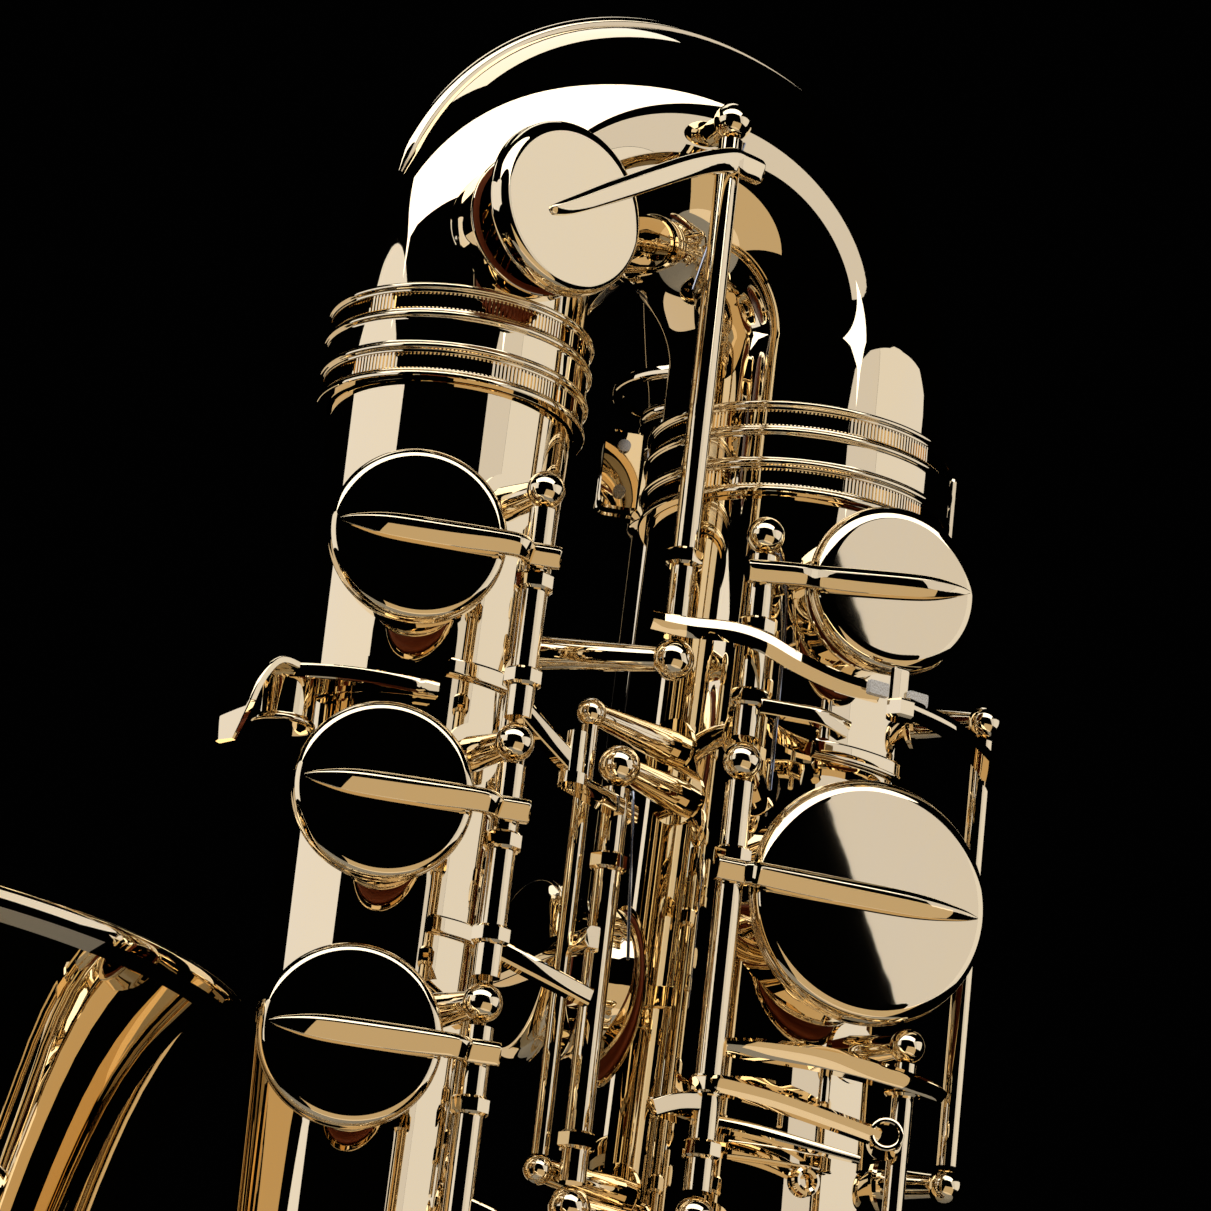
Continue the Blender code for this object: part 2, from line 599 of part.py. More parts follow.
def make_bell():
    """Flared bell with a rolled rim; its two tone holes and their keys' posts stand on the wall."""
    at = Vector(BELL_AT)
    low_r, low_z = BELL_OUTLINE[0]
    outline = [(low_r, low_z + 0.1)] + BELL_OUTLINE[1:]
    rolled = [(BELL_RIM_R, BELL_RIM_Z - 3.5), (BELL_RIM_R + 0.6, BELL_RIM_Z - 1.2),
              (BELL_RIM_R - 1, BELL_RIM_Z)]
    bell = add("bell", lathe(outline + rolled, at, count=BELL_ROUND), LACQUER, at)
    add_list, hole_list = rims("bell")
    boolean(bell, "UNION", join(*add_list), at, "rims")
    posts = []
    for name, middle, _cup in BELL_KEYS:
        for z in (middle + BELL_POST, middle - BELL_POST):
            posts.append(post_on(BELL_AT, bell_r(z) - 0.5, KEYS[name]["hinge"] + Z_AXIS * z, sides=6))
    boolean(bell, "UNION", join(*posts), at, "posts")
    bore = [(r - WALL, z) for r, z in BELL_OUTLINE[:-1]]
    mouth = [(BELL_RIM_R - 3.2, BELL_RIM_Z - 4), (BELL_RIM_R, BELL_RIM_Z + 6)]
    bore = [(bore[0][0], low_z - 5)] + bore[2:5:2] + bore[5:] + mouth
    boolean(bell, "DIFFERENCE", lathe(bore, at, count=BELL_ROUND), at, "bore")
    boolean(bell, "DIFFERENCE", join(*hole_list), at, "tone_holes")


def make_bottom_bow():
    low = Vector((RIGHT.x, RIGHT.y, BOTTOM_BOW_Z))
    end = Vector((BELL_AT.x, BELL_AT.y, BOTTOM_BOW_Z))
    centre = (low + end) / 2
    across = (end - low).normalized()
    axis = across.cross(Z_AXIS)
    path = arc(centre, low, axis, 180, 9)
    path = [low + Z_AXIS * (BODY_LOW_Z - 0.1 - BOTTOM_BOW_Z)] + path
    path.append(end + Z_AXIS * (BELL_OUTLINE[0][1] - 0.1 - BOTTOM_BOW_Z))
    count = len(path) - 1
    radii = [BODY_LOW_R + (BELL_OUTLINE[0][0] - BODY_LOW_R) * i / count for i in range(count + 1)]
    bow = add("bottom_bow", pipe(path, radii), LACQUER)
    boolean(bow, "UNION", lathe([(9, 0), (9, 9), (7.5, 11)], SOCKET, count=16), label="socket")
    boolean(bow, "DIFFERENCE", lathe([(4.2, -2), (4.2, 6)], SOCKET, count=12), label="peg_hole")
    path = [path[0] + Z_AXIS * 5] + path[1:-1] + [path[-1] + Z_AXIS * 5]
    boolean(bow, "DIFFERENCE", pipe(path, [r - WALL for r in radii], BORE_ROUND), label="bore")


def make_outer_rod():
    """Long rod at the right with the lever that the bow key's lever works."""
    at = Vector((OUTER_HINGE.x, OUTER_HINGE.y, 890))
    key = add("key_side_rod", hinge_tube(OUTER_HINGE, 935.1, 846.9, radius=2.2), LACQUER, at)
    key["moving"] = True
    lever = [OUTER_HINGE + Vector(step) for step in ((3, -2, 925), (-6, -8, 928), (-22, -22, 933))]
    boolean(key, "UNION", bar(lever, [(5.0, 2.4)] * 3, Z_AXIS), at, "lever")


def down_path():
    """The tube below the neck runs straight, then leans over to the climbing leg's foot."""
    path = [DOWN_AT + Z_AXIS * DOWN_TOP_Z, DOWN_AT + Z_AXIS * 990, DOWN_AT + Z_AXIS * 790]
    for i in range(1, 6):
        t = i / 6
        ease = t * t * (3 - 2 * t)
        path.append(DOWN_AT.lerp(CROOK_AT, ease) + Z_AXIS * (790 - 190 * t))
    return path + [CROOK_AT + Z_AXIS * 595, CROOK_AT + Z_AXIS * (LEFT_LOW_Z + 0.1)]


def make_down_tube():
    path = down_path()
    length = path[0].z - path[-1].z
    radii = [DOWN_R + DOWN_GROWS * (path[0].z - p.z) / length for p in path]
    tube = add("down_tube", pipe(path, radii, BORE_ROUND), LACQUER)
    z = DOWN_TOP_Z
    collar = lathe([(DOWN_R - 0.4, z - 27), (DOWN_R + 1.4, z - 25.5), (DOWN_R + 1.4, z - 1),
                    (DOWN_R + 0.8, z - 0.1)], DOWN_AT, count=16)
    boolean(tube, "UNION", collar, label="collar")
    out, side = spoke(LUG_ANGLE), spoke(LUG_ANGLE + 90)
    middle = DOWN_AT + Z_AXIS * (z - 13)
    lugs = bar([middle + out * 9, middle + out * (DOWN_R + 8.5)], [(19, 9.4)] * 2, side)
    bmesh.ops.translate(lugs, verts=lugs.verts, vec=-side * 4.7)
    boolean(tube, "UNION", lugs, label="lugs")
    bore = [path[0] + Z_AXIS * 5] + path[1:-1] + [path[-1] - Z_AXIS * 5]
    inner = [r - WALL for r in radii]
    boolean(tube, "DIFFERENCE", pipe(bore, inner, BORE_ROUND), label="bore")
    slit = bar([middle + out * 8, middle + out * 40], [(60, 1.2)] * 2, side)
    bmesh.ops.translate(slit, verts=slit.verts, vec=-side * 0.6)
    boolean(tube, "DIFFERENCE", slit, label="slit")
    for i, z_screw in enumerate((z - 7.5, z - 18.5)):
        at = DOWN_AT + out * (DOWN_R + 4.6) + Z_AXIS * z_screw
        screw_hole = lathe([(1.75, -8), (1.75, 8)], at, side, count=8)
        boolean(tube, "DIFFERENCE", screw_hole, label=f"screw_hole_{i + 1}")
        head = lathe([(1.45, -5.6), (1.45, 4.95), (2.6, 4.95), (2.6, 6.4), (2.1, 6.8)], at, -side, count=8)
        add(f"receiver_screw_{i + 1}", head, STEEL, at)


def make_crook():
    top = Z_AXIS * (LEFT_LOW_Z - 0.2)
    low, end = LEFT + top - Z_AXIS * 5, CROOK_AT + top - Z_AXIS * 5
    centre = (low + end) / 2
    axis = (end - low).normalized().cross(Z_AXIS)
    path = [LEFT + top] + arc(centre, low, axis, 180, 6) + [CROOK_AT + top]
    radii = [LEFT_LOW_R - 1.3 * i / 8 for i in range(9)]
    crook = add("lower_crook", pipe(path, radii, BORE_ROUND), LACQUER)
    inside = [path[0] + Z_AXIS * 5] + path[1:-1] + [path[-1] + Z_AXIS * 5]
    boolean(crook, "DIFFERENCE", pipe(inside, [r - WALL for r in radii], BORE_ROUND), label="bore")
    for name, at, r in (("crook_ring_leg", LEFT, LEFT_LOW_R + 0.3), ("crook_ring_down", CROOK_AT, 16.0)):
        base = at + Z_AXIS * (LEFT_LOW_Z - 4)
        ring = [(r + 0.1, 0), (r + 1.6, 0), (r + 2.0, 2.0), (r + 1.6, 4.0), (r + 1.6, 8.0), (r + 0.1, 8.0)]
        add(name, lathe(ring, base, count=ROUND, closed=True), LACQUER, base)


def neck_point(along, z):
    return DOWN_AT + NECK_DIR * along + Z_AXIS * z


def make_neck():
    z = DOWN_TOP_Z
    path = [neck_point(along, z + up) for along, up in NECK_RISE]
    count = len(path) - 2
    radii = [TENON_R] * 2 + [NECK_R + (NECK_END_R - NECK_R) * i / count for i in range(count)]
    neck = add("neck", pipe(path, radii, NECK_ROUND), LACQUER)
    collar = lathe([(10.5, 0.3), (14.0, 0.3), (14.4, 1.5), (14.0, 2.7), (11.0, 5.0)],
                   DOWN_AT + Z_AXIS * z, count=14)
    boolean(neck, "UNION", collar, label="collar")
    crest = neck_point(*OCTAVE_AT)
    fittings = [lathe([(2.4, 0), (2.4, 16.5)], crest + NECK_ACROSS * side, count=8) for side in (-7, 7)]
    fittings.append(lathe([(3.4, 0), (3.4, 14.0)], neck_point(*PIP_AT), count=8))
    boolean(neck, "UNION", join(*fittings), label="ears_and_pip")
    inner = [max(r - 1.3, 5) for r in radii]
    ends = [path[0] - Z_AXIS * 5] + path[1:-1]
    last = (path[-1] - path[-2]).normalized()
    boolean(neck, "DIFFERENCE", pipe(ends + [path[-1] + last * 5], inner, NECK_ROUND), label="bore")
    boolean(neck, "DIFFERENCE", lathe([(1.6, 5), (1.6, 16)], neck_point(*PIP_AT), count=6), label="pip_hole")
    return path[-2], path[-1], radii[-1]


def make_octave_key():
    """Key on the neck: a cup on the octave pip, a hinge between the ears, and a ring at the receiver."""
    z = DOWN_TOP_Z
    hinge = neck_point(*OCTAVE_AT) + Z_AXIS * OCTAVE_HINGE_UP
    tube = lathe([(2.1, -4.2), (2.1, 4.2)], hinge, NECK_ACROSS, count=8)
    key = add("octave_key", tube, LACQUER, hinge)
    key["moving"] = True
    pip = neck_point(*PIP_AT)
    cup = lathe([(4.6, 14.4), (5.0, 17.0), (3.0, 17.6)], pip, count=10)
    boolean(key, "UNION", cup, hinge, "cup")
    over = pip + Z_AXIS * 16.4
    arm = [hinge - NECK_DIR * 1.5, hinge.lerp(over, 0.5) + Z_AXIS, over]
    boolean(key, "UNION", bar(arm, [(4, 2)] * 3, Z_AXIS), hinge, "arm")
    run = ((50, 83), (34, 77.5), (20, 68.5), (8, 55), (0.5, 38), (-6, 26), (-12, 15), (-19.5, 7.5))
    back = [hinge + NECK_DIR * 1.5] + [neck_point(along, z + up) for along, up in run]
    boolean(key, "UNION", bar(back, [(4.2, 1.8)] * len(back), -NECK_DIR + Z_AXIS), hinge, "back")
    ring = [(18.5, 6.2), (21.2, 6.2), (21.2, 8.6), (18.5, 8.6)]
    boolean(key, "UNION", lathe(ring, DOWN_AT + Z_AXIS * z, count=16, closed=True), hinge, "ring")


def make_mouthpiece(before, end, radius):
    axis = (end - before).normalized()
    up = axis.cross(Z_AXIS).cross(axis).normalized()
    cork = [(radius + 0.7, -24), (radius + 1.7, -24), (radius + 1.7, -2), (radius + 0.7, -2)]
    add("neck_cork", lathe(cork, end, axis, count=14, closed=True), CORK, end)
    r = radius + 2.1
    body = [(r, -20), (14.5, -20), (15.0, -17), (15.0, 25), (13.0, 62), (9.5, 84), (r - 4, 84), (r - 2, 10),
            (r, 4)]
    piece = add("mouthpiece", lathe(body, end, axis, count=16, closed=True), EBONITE, end)
    beak = bar([end + axis * 34 + up * 13.6, end + axis * 90 + up * 0.5], [(60, 40)] * 2, up)
    boolean(piece, "DIFFERENCE", beak, end, "beak")
    table = bar([end + axis * 14 - up * 9.5, end + axis * 95 - up * 6.0], [(60, 40)] * 2, -up)
    boolean(piece, "DIFFERENCE", table, end, "table")
    window = bar([end + axis * 44, end + axis * 66], [(11, 20)] * 2, -up)
    boolean(piece, "DIFFERENCE", window, end, "window")
    path = [end + axis * 15 - up * 9.9, end + axis * 45 - up * 8.6, end + axis * 83 - up * 6.95]
    reed = bar(path, [(16, 2.6), (16.5, 2.4), (16.5, 0.5)], -up)
    add("reed", reed, CANE, end)
    ring = [(15.4, 18), (17.6, 18), (17.6, 36), (15.4, 36)]
    add("ligature", lathe(ring, end, axis, count=16, closed=True), LACQUER, end)


def make_strap_ring():
    z = 700
    out = spoke(80)
    at = RIGHT + out * (body_r(z) + 0.25) + Z_AXIS * z
    base = lathe([(7, 0.4), (7, 2.0), (3.2, 3.2), (3.2, 8)], at, out, count=14)
    ring_obj = add("strap_ring", base, LACQUER, at)
    ring = [(8.6 + 2.0 * math.cos(a), 2.0 * math.sin(a))
            for a in (2 * math.pi * i / 6 for i in range(6))]
    boolean(ring_obj, "UNION", lathe(ring, at + out * 15.6, spoke(-10), count=14, closed=True), at, "ring")


def make_thumb_hook():
    z = 918.0
    at = LEFT + Z_AXIS * z
    inner = left_r(z) + 0.4
    outline = []
    for i in range(9):
        d = -104 - 8.5 * i
        wide = 2.4 + 13.0 * (i / 8) ** 1.3
        outline.append((d, inner, inner + wide))
    corners = ((0, 0), (1, 0), (1, 3.0), (0, 3.0))
    rings = [[at + spoke(d) * (far if edge else near) + Z_AXIS * h for edge, h in corners]
             for d, near, far in outline]
    hook = add("thumb_hook", skin(rings), LACQUER, at)
    out = spoke(-165)
    knob = lathe([(5.6, -8.5), (6.0, -8.0), (6.0, 0.6)], at + out * (inner + 7.5), count=16)
    boolean(hook, "UNION", knob, at, "boss")
    tip = at + out * (inner + 13.0)
    tongue = [tip + Z_AXIS * 1.6 - out * 3, tip + Z_AXIS * 1.4 + out * 1.5, tip + out * 4.5 - Z_AXIS * 3,
              tip + out * 6.0 - Z_AXIS * 9, tip + out * 7.0 - Z_AXIS * 15]
    boolean(hook, "UNION", bar(tongue, [(13, 2.2), (13, 2.2), (12, 2.2), (10, 2.0), (6, 1.4)],
                               out + Z_AXIS * 0.9), at, "tongue")


def make_brace():
    z = 640.0
    line = Vector((BELL_AT.x - RIGHT.x, BELL_AT.y - RIGHT.y, 0))
    out = line.normalized()
    start = RIGHT + out * (body_r(z) + 0.4) + Z_AXIS * z
    length = line.length - body_r(z) - 78.9 - 0.8
    rod = [(8.0, 0), (8.0, 1.4), (3.0, 3.5), (3.0, length - 3.5), (8.0, length - 1.4), (8.0, length)]
    brace = add("bell_brace", lathe(rod, start, out, count=8), LACQUER, start)
    middle = start + out * length * 0.52
    ring = [(13.0, -3), (16.0, -3), (16.0, 3), (13.0, 3)]
    cross = out.cross(Z_AXIS)
    tool = lathe(ring, middle, cross, count=14, closed=True)
    boolean(brace, "DIFFERENCE", lathe([(13.0, -6), (13.0, 6)], middle, cross, count=14), start, "eye")
    boolean(brace, "UNION", tool, start, "ring")


for key_name, key_spec in KEYS.items():
    make_key(key_name, key_spec)
make_outer_rod()
make_left_leg()
make_body()
make_upper_bow()
make_bow_guard()
make_top_key()
ferrule("ferrule_left", LEFT, 983.0, LEFT_TOP_R + 0.2)
ferrule("ferrule_right", RIGHT, 979.0, BODY_TOP_R + 0.3)
make_down_tube()
make_crook()
neck_end = make_neck()
make_octave_key()
make_mouthpiece(*neck_end)
make_bell()
make_key_guard("guard_low_b", "key_low_b")
make_key_guard("guard_low_bflat", "key_low_bflat")
make_bottom_bow()
make_strap_ring()
make_thumb_hook()
make_brace()
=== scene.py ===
"""Bass saxophone in polished gold lacquer, seen close from below on its upper bow and key stacks."""
import json
import math

import bmesh
import bpy
from mathutils import Matrix, Quaternion, Vector


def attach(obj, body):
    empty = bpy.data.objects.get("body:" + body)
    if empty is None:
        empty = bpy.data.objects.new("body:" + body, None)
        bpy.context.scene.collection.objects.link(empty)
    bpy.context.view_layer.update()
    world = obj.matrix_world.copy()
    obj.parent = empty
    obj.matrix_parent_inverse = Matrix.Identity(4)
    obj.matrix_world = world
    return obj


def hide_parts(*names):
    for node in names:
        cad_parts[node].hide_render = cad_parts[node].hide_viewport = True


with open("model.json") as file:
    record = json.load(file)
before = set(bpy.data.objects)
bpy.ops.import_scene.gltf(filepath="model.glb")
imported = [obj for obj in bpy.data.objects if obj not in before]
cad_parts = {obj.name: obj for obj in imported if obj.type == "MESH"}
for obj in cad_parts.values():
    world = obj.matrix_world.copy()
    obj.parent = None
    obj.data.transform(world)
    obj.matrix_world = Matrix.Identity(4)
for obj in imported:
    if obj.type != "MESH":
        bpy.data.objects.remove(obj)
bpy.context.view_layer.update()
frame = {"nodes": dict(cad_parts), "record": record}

# Studio: a pale floor and a black room, lit by soft panels. One wide panel hangs in front overhead,
# two stand at the left and one at the right, and small ones fill in from below and behind.
FLOOR_DROP, FLOOR_R = 0.004, 0.95
AIM = Vector((0.059, -0.04, 0.94))     # middle of the key stacks under the upper bow
bpy.context.scene.view_settings.view_transform = "Standard"


def paint(name, colour, roughness):
    """Plain material for what isn't part of the instrument."""
    made = bpy.data.materials.new(name)
    made.use_nodes = True
    shader = made.node_tree.nodes["Principled BSDF"]
    shader.inputs["Base Color"].default_value = (*colour, 1)
    shader.inputs["Roughness"].default_value = roughness
    return made


floor_data = bpy.data.meshes.new("floor")
floor_mesh = bmesh.new()
bmesh.ops.create_circle(floor_mesh, cap_ends=True, segments=160, radius=FLOOR_R,
                        matrix=Matrix.Translation((0, 0, -FLOOR_DROP)))
floor_mesh.to_mesh(floor_data)
floor_mesh.free()
floor_data.materials.append(paint("floor_paint", (0.55, 0.535, 0.505), 0.55))
floor = bpy.data.objects.new("floor", floor_data)
bpy.context.scene.collection.objects.link(floor)


def direction(azimuth, elevation):
    """Unit vector; azimuth 0 is +X and 90 is +Y, in degrees."""
    a, e = math.radians(azimuth), math.radians(elevation)
    return Vector((math.cos(a) * math.cos(e), math.sin(a) * math.cos(e), math.sin(e)))


def soft_panel(name, azimuth, elevation, far, wide, tall, glow, lean=0, slide=(0, 0), tint=(1.0, 0.98, 0.95)):
    """Rectangular soft light that faces AIM; glow 1 mirrors as white, lean tips its top in, slide is in its own plane."""
    light = bpy.data.lights.new(name, "AREA")
    light.shape = "RECTANGLE"
    light.size, light.size_y = wide, tall
    light.energy = glow * math.pi * wide * tall
    light.color = tint
    panel = bpy.data.objects.new(name, light)
    back = direction(azimuth, elevation)
    facing = (-back).to_track_quat("-Z", "Y") @ Quaternion((1, 0, 0), math.radians(-lean))
    panel.location = AIM + back * far + facing @ Vector((*slide, 0))
    panel.rotation_euler = facing.to_euler()
    panel.visible_camera = False
    bpy.context.scene.collection.objects.link(panel)


soft_panel("overhead_panel", 232, 47.5, 2.0, 4.2, 1.1, 2.00, tint=(1.0, 1.0, 1.0))
soft_panel("right_dim_panel", 313, 8, 2.49, 0.98, 2.49, 0.70, lean=35, slide=(-0.97, -0.40), tint=(1.0, 0.97, 0.98))
soft_panel("right_bright_panel", 313, 8, 2.49, 1.95, 2.49, 0.80, lean=35, slide=(0.50, -0.40), tint=(1.0, 0.98, 0.99))
soft_panel("left_panel", 169, 9, 2.0, 2.1, 1.0, 0.86, tint=(1.0, 0.99, 1.03))
soft_panel("low_left_panel", 117, -16, 1.2, 0.9, 0.9, 0.62, tint=(1.0, 0.82, 0.60))
soft_panel("low_front_panel", 271, -35, 0.9, 0.95, 0.72, 0.56, tint=(1.0, 0.76, 0.46))
soft_panel("back_panel", 97, 67, 1.6, 1.1, 0.55, 1.20)

world = bpy.data.worlds.new("studio")
world.use_nodes = True
world.node_tree.nodes["Background"].inputs["Color"].default_value = (0.0004, 0.0004, 0.0004, 1)
bpy.context.scene.world = world

# Camera: low and close on the left, looking up at the bow with a long lens, as in the photograph.
CAMERA_AT = Vector((-0.295625, -0.7396, 0.686))
CAMERA_LOOKS = Vector((0.429, 0.848, 0.311)).normalized()
CAMERA_UP = Vector((-0.243, -0.222, 0.944))
FOCAL_PIXELS, PHOTO_PIXELS = 4000.0, 1211.0

camera_data = bpy.data.cameras.new("camera")
camera_data.sensor_width = 36.0
camera_data.lens = FOCAL_PIXELS / PHOTO_PIXELS * camera_data.sensor_width
camera_data.clip_start, camera_data.clip_end = 0.02, 40.0
camera = bpy.data.objects.new("camera", camera_data)
across = CAMERA_LOOKS.cross(CAMERA_UP).normalized()
upright = across.cross(CAMERA_LOOKS)
turned = Matrix((across, upright, -CAMERA_LOOKS)).transposed()
camera.matrix_world = Matrix.Translation(CAMERA_AT) @ turned.to_4x4()
bpy.context.scene.collection.objects.link(camera)
bpy.context.scene.camera = camera

# Climbing leg and main body: conical brass tubes, drawn, soldered up the back, polished to a mirror
# and sprayed with clear gold lacquer. Each tone hole is a chimney with a rolled rim, drilled through.
MM = 0.001
UP = Vector((0, 0, 1))
SOCKET = Vector((-59.375, 40, 12))     # foot of the peg's socket, the origin; sizes here are millimetres
LEG_HALF = 41.25
LEFT, RIGHT = Vector((-LEG_HALF, 0, 0)), Vector((LEG_HALF, 0, 0))
JOINT_Z = 994.0
WALL = 1.5
LEFT_LOW_Z, LEFT_LOW_R, LEFT_TOP_R = 560.0, 17.0, 25.0
BODY_LOW_Z, BODY_LOW_R, BODY_TOP_R = 180.0, 46.0, 30.3
BELL_AT = Vector((-160, 80, 0))
BELL_OUTLINE = [(57, 180), (61, 300), (66, 420), (72, 540), (79, 650), (87.5, 740), (95, 795), (103, 832),
                (113, 855)]
CUP_GAP = 0.3                          # pad above a closed tone hole
PAD_T = 3.4
RISE = 5.0                             # tone hole rim above the tube's skin


class Wire:
    """A value in a material; arithmetic on it adds Math nodes."""

    def __init__(self, finish, socket):
        self.finish, self.socket = finish, socket

    def sum(self, operation, *values):
        return self.finish.add("ShaderNodeMath", {"operation": operation}, dict(enumerate(values)))

    def __add__(self, other):
        return self.sum("ADD", self, other)

    def __sub__(self, other):
        return self.sum("SUBTRACT", self, other)

    def __mul__(self, other):
        return self.sum("MULTIPLY", self, other)

    def __truediv__(self, other):
        return self.sum("DIVIDE", self, other)

    def __pow__(self, other):
        return self.sum("POWER", self, other)

    def __rsub__(self, other):
        return self.sum("SUBTRACT", other, self)

    __radd__, __rmul__ = __add__, __mul__


class Finish:
    """A material under way; add() makes any node and returns its output as a Wire."""

    def __init__(self, name):
        self.material = bpy.data.materials.new(name)
        self.material.use_nodes = True
        self.tree = self.material.node_tree
        self.shader = self.tree.nodes["Principled BSDF"]

    def put(self, socket, value):
        if isinstance(value, Wire):
            self.tree.links.new(value.socket, socket)
        elif socket.type == "RGBA":
            socket.default_value = (*value, 1)
        else:
            socket.default_value = value

    def add(self, kind, settings=None, inputs=None, output=0):
        node = self.tree.nodes.new(kind)
        for key, value in (settings or {}).items():
            setattr(node, key, value)
        for key, value in (inputs or {}).items():
            self.put(node.inputs[key], value)
        return Wire(self, node.outputs[output])

    def place(self, x=1.0, y=1.0, z=1.0):
        """The point's place on the object, each axis scaled for a grain along one way."""
        at = self.add("ShaderNodeTexCoord", output="Object")
        return self.add("ShaderNodeMapping", None, {"Vector": at, "Scale": (x, y, z)})

    def noise(self, scale, detail=3.0, vector=None, output=0):
        return self.add("ShaderNodeTexNoise", None, {"Vector": vector or self.place(), "Scale": scale,
                                                     "Detail": detail}, output)

    def mix(self, factor, low, high):
        node = self.tree.nodes.new("ShaderNodeMix")
        node.data_type = "RGBA"
        for socket, value in ((0, factor), (6, low), (7, high)):
            self.put(node.inputs[socket], value)
        return Wire(self, node.outputs[2])

    def bump(self, height, strength, distance):
        return self.add("ShaderNodeBump", None, {"Strength": strength, "Distance": distance, "Height": height})

    def give(self, **values):
        """Sets the shader's sockets: base_color=..., roughness=..., and so on."""
        for key, value in values.items():
            self.put(self.shader.inputs[key.replace("_", " ").title()], value)
        return self.material


def lacquered(name, deep, pale, gloss, ripple):
    """Polished brass under clear lacquer: broad faint shade, wiped smears, the lacquer's slight ripple."""
    finish = Finish(name)
    shade = finish.noise(9.0, 2.0)
    smear = finish.noise(26.0, 4.0, finish.place(1.0, 1.0, 0.35))
    skin = finish.noise(160.0, 1.0)
    return finish.give(base_color=finish.mix(shade, deep, pale), metallic=1.0,
                       roughness=(smear ** 3.0) * 0.03 + gloss, normal=finish.bump(skin, ripple, 0.0004),
                       coat_weight=0.30, coat_roughness=0.01)


LACQUER = lacquered("gold_lacquer", (0.94, 0.77, 0.50), (0.98, 0.83, 0.58), 0.007, 0.004)


def left_r(z):
    return LEFT_LOW_R + (LEFT_TOP_R - LEFT_LOW_R) * (z - LEFT_LOW_Z) / (JOINT_Z - LEFT_LOW_Z)


def body_r(z):
    return BODY_LOW_R + (BODY_TOP_R - BODY_LOW_R) * (z - BODY_LOW_Z) / (JOINT_Z - BODY_LOW_Z)


def bell_r(z):
    for (low_r, low_z), (high_r, high_z) in zip(BELL_OUTLINE, BELL_OUTLINE[1:]):
        if z <= high_z:
            return low_r + (high_r - low_r) * (z - low_z) / (high_z - low_z)
    return BELL_OUTLINE[-1][0]


def spoke(degrees):
    """Unit direction in the XY plane."""
    return Vector((math.cos(math.radians(degrees)), math.sin(math.radians(degrees)), 0))


def lathe(outline, at, axis=UP, sides=64, ring=False):
    """Turned skin: (radius, height) points swept round an axis; ring joins the last point to the first."""
    mesh = bmesh.new()
    turn = UP.rotation_difference(Vector(axis).normalized()).to_matrix()
    if not ring:
        outline = [(0, outline[0][1])] + list(outline) + [(0, outline[-1][1])]
    rows = []
    for radius, height in outline:
        angles = [2 * math.pi * i / sides for i in range(sides)] if radius > 0 else [0]
        rows.append([mesh.verts.new(Vector(at) + turn @ Vector((radius * math.cos(a), radius * math.sin(a), height)))
                     for a in angles])
    for low, high in list(zip(rows, rows[1:])) + ([(rows[-1], rows[0])] if ring else []):
        for i in range(sides):
            j = i + 1
            corners = [low[i % len(low)], low[j % len(low)], high[j % len(high)], high[i % len(high)]]
            corners = list(dict.fromkeys(corners))
            if len(corners) > 2:
                mesh.faces.new(corners)
    bmesh.ops.recalc_face_normals(mesh, faces=mesh.faces)
    return mesh


def soft(outline, radius, steps=3, ring=False):
    """The outline with its corners rounded to a small radius, as polishing leaves them."""
    points = [Vector((x, y)) for x, y in outline]
    made = []
    for i, corner in enumerate(points):
        if not ring and i in (0, len(points) - 1):
            made.append(tuple(corner))
            continue
        before, after = points[i - 1] - corner, points[(i + 1) % len(points)] - corner
        reach = min(radius, before.length * 0.45, after.length * 0.45)
        start, end = corner + before.normalized() * reach, corner + after.normalized() * reach
        if before.length > 4 * reach:
            made.append(tuple(corner + before.normalized() * reach * 1.5))
        for k in range(steps + 1):
            t = k / steps
            made.append(tuple(start * (1 - t) ** 2 + corner * (2 * t * (1 - t)) + end * t ** 2))
        if after.length > 4 * reach:
            made.append(tuple(corner + after.normalized() * reach * 1.5))
    return made


def merged(*meshes):
    """One mesh that holds the shells of several."""
    made = bmesh.new()
    for mesh in meshes:
        data = bpy.data.meshes.new("shell")
        mesh.to_mesh(data)
        mesh.free()
        made.from_mesh(data)
        bpy.data.meshes.remove(data)
    return made


def carved(mesh, tool):
    """The mesh with the tool's volume taken out."""
    pair = []
    for part in (mesh, tool):
        data = bpy.data.meshes.new("carving")
        part.to_mesh(data)
        part.free()
        pair.append(bpy.data.objects.new("carving", data))
        bpy.context.scene.collection.objects.link(pair[-1])
    step = pair[0].modifiers.new("cut", "BOOLEAN")
    step.operation, step.object = "DIFFERENCE", pair[1]
    data = bpy.data.meshes.new_from_object(pair[0].evaluated_get(bpy.context.evaluated_depsgraph_get()))
    made = bmesh.new()
    made.from_mesh(data)
    bpy.data.meshes.remove(data)
    for obj in pair:
        bpy.data.objects.remove(obj, do_unlink=True)
    return made


def piece(name, mesh, finish, body, *nodes, slot="gold_lacquer", sharp=32):
    """Object from a mesh in millimetres; it rides on a body and stands for the CAD nodes named."""
    data = bpy.data.meshes.new(name)
    mesh.transform(Matrix.Scale(MM, 4) @ Matrix.Translation(-SOCKET))
    mesh.to_mesh(data)
    mesh.free()
    data.shade_smooth()
    data.set_sharp_from_angle(angle=math.radians(sharp))
    data.materials.append(finish)
    made = bpy.data.objects.new(name, data)
    bpy.context.scene.collection.objects.link(made)
    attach(made, body)
    for node in nodes:
        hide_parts(node)
    return made


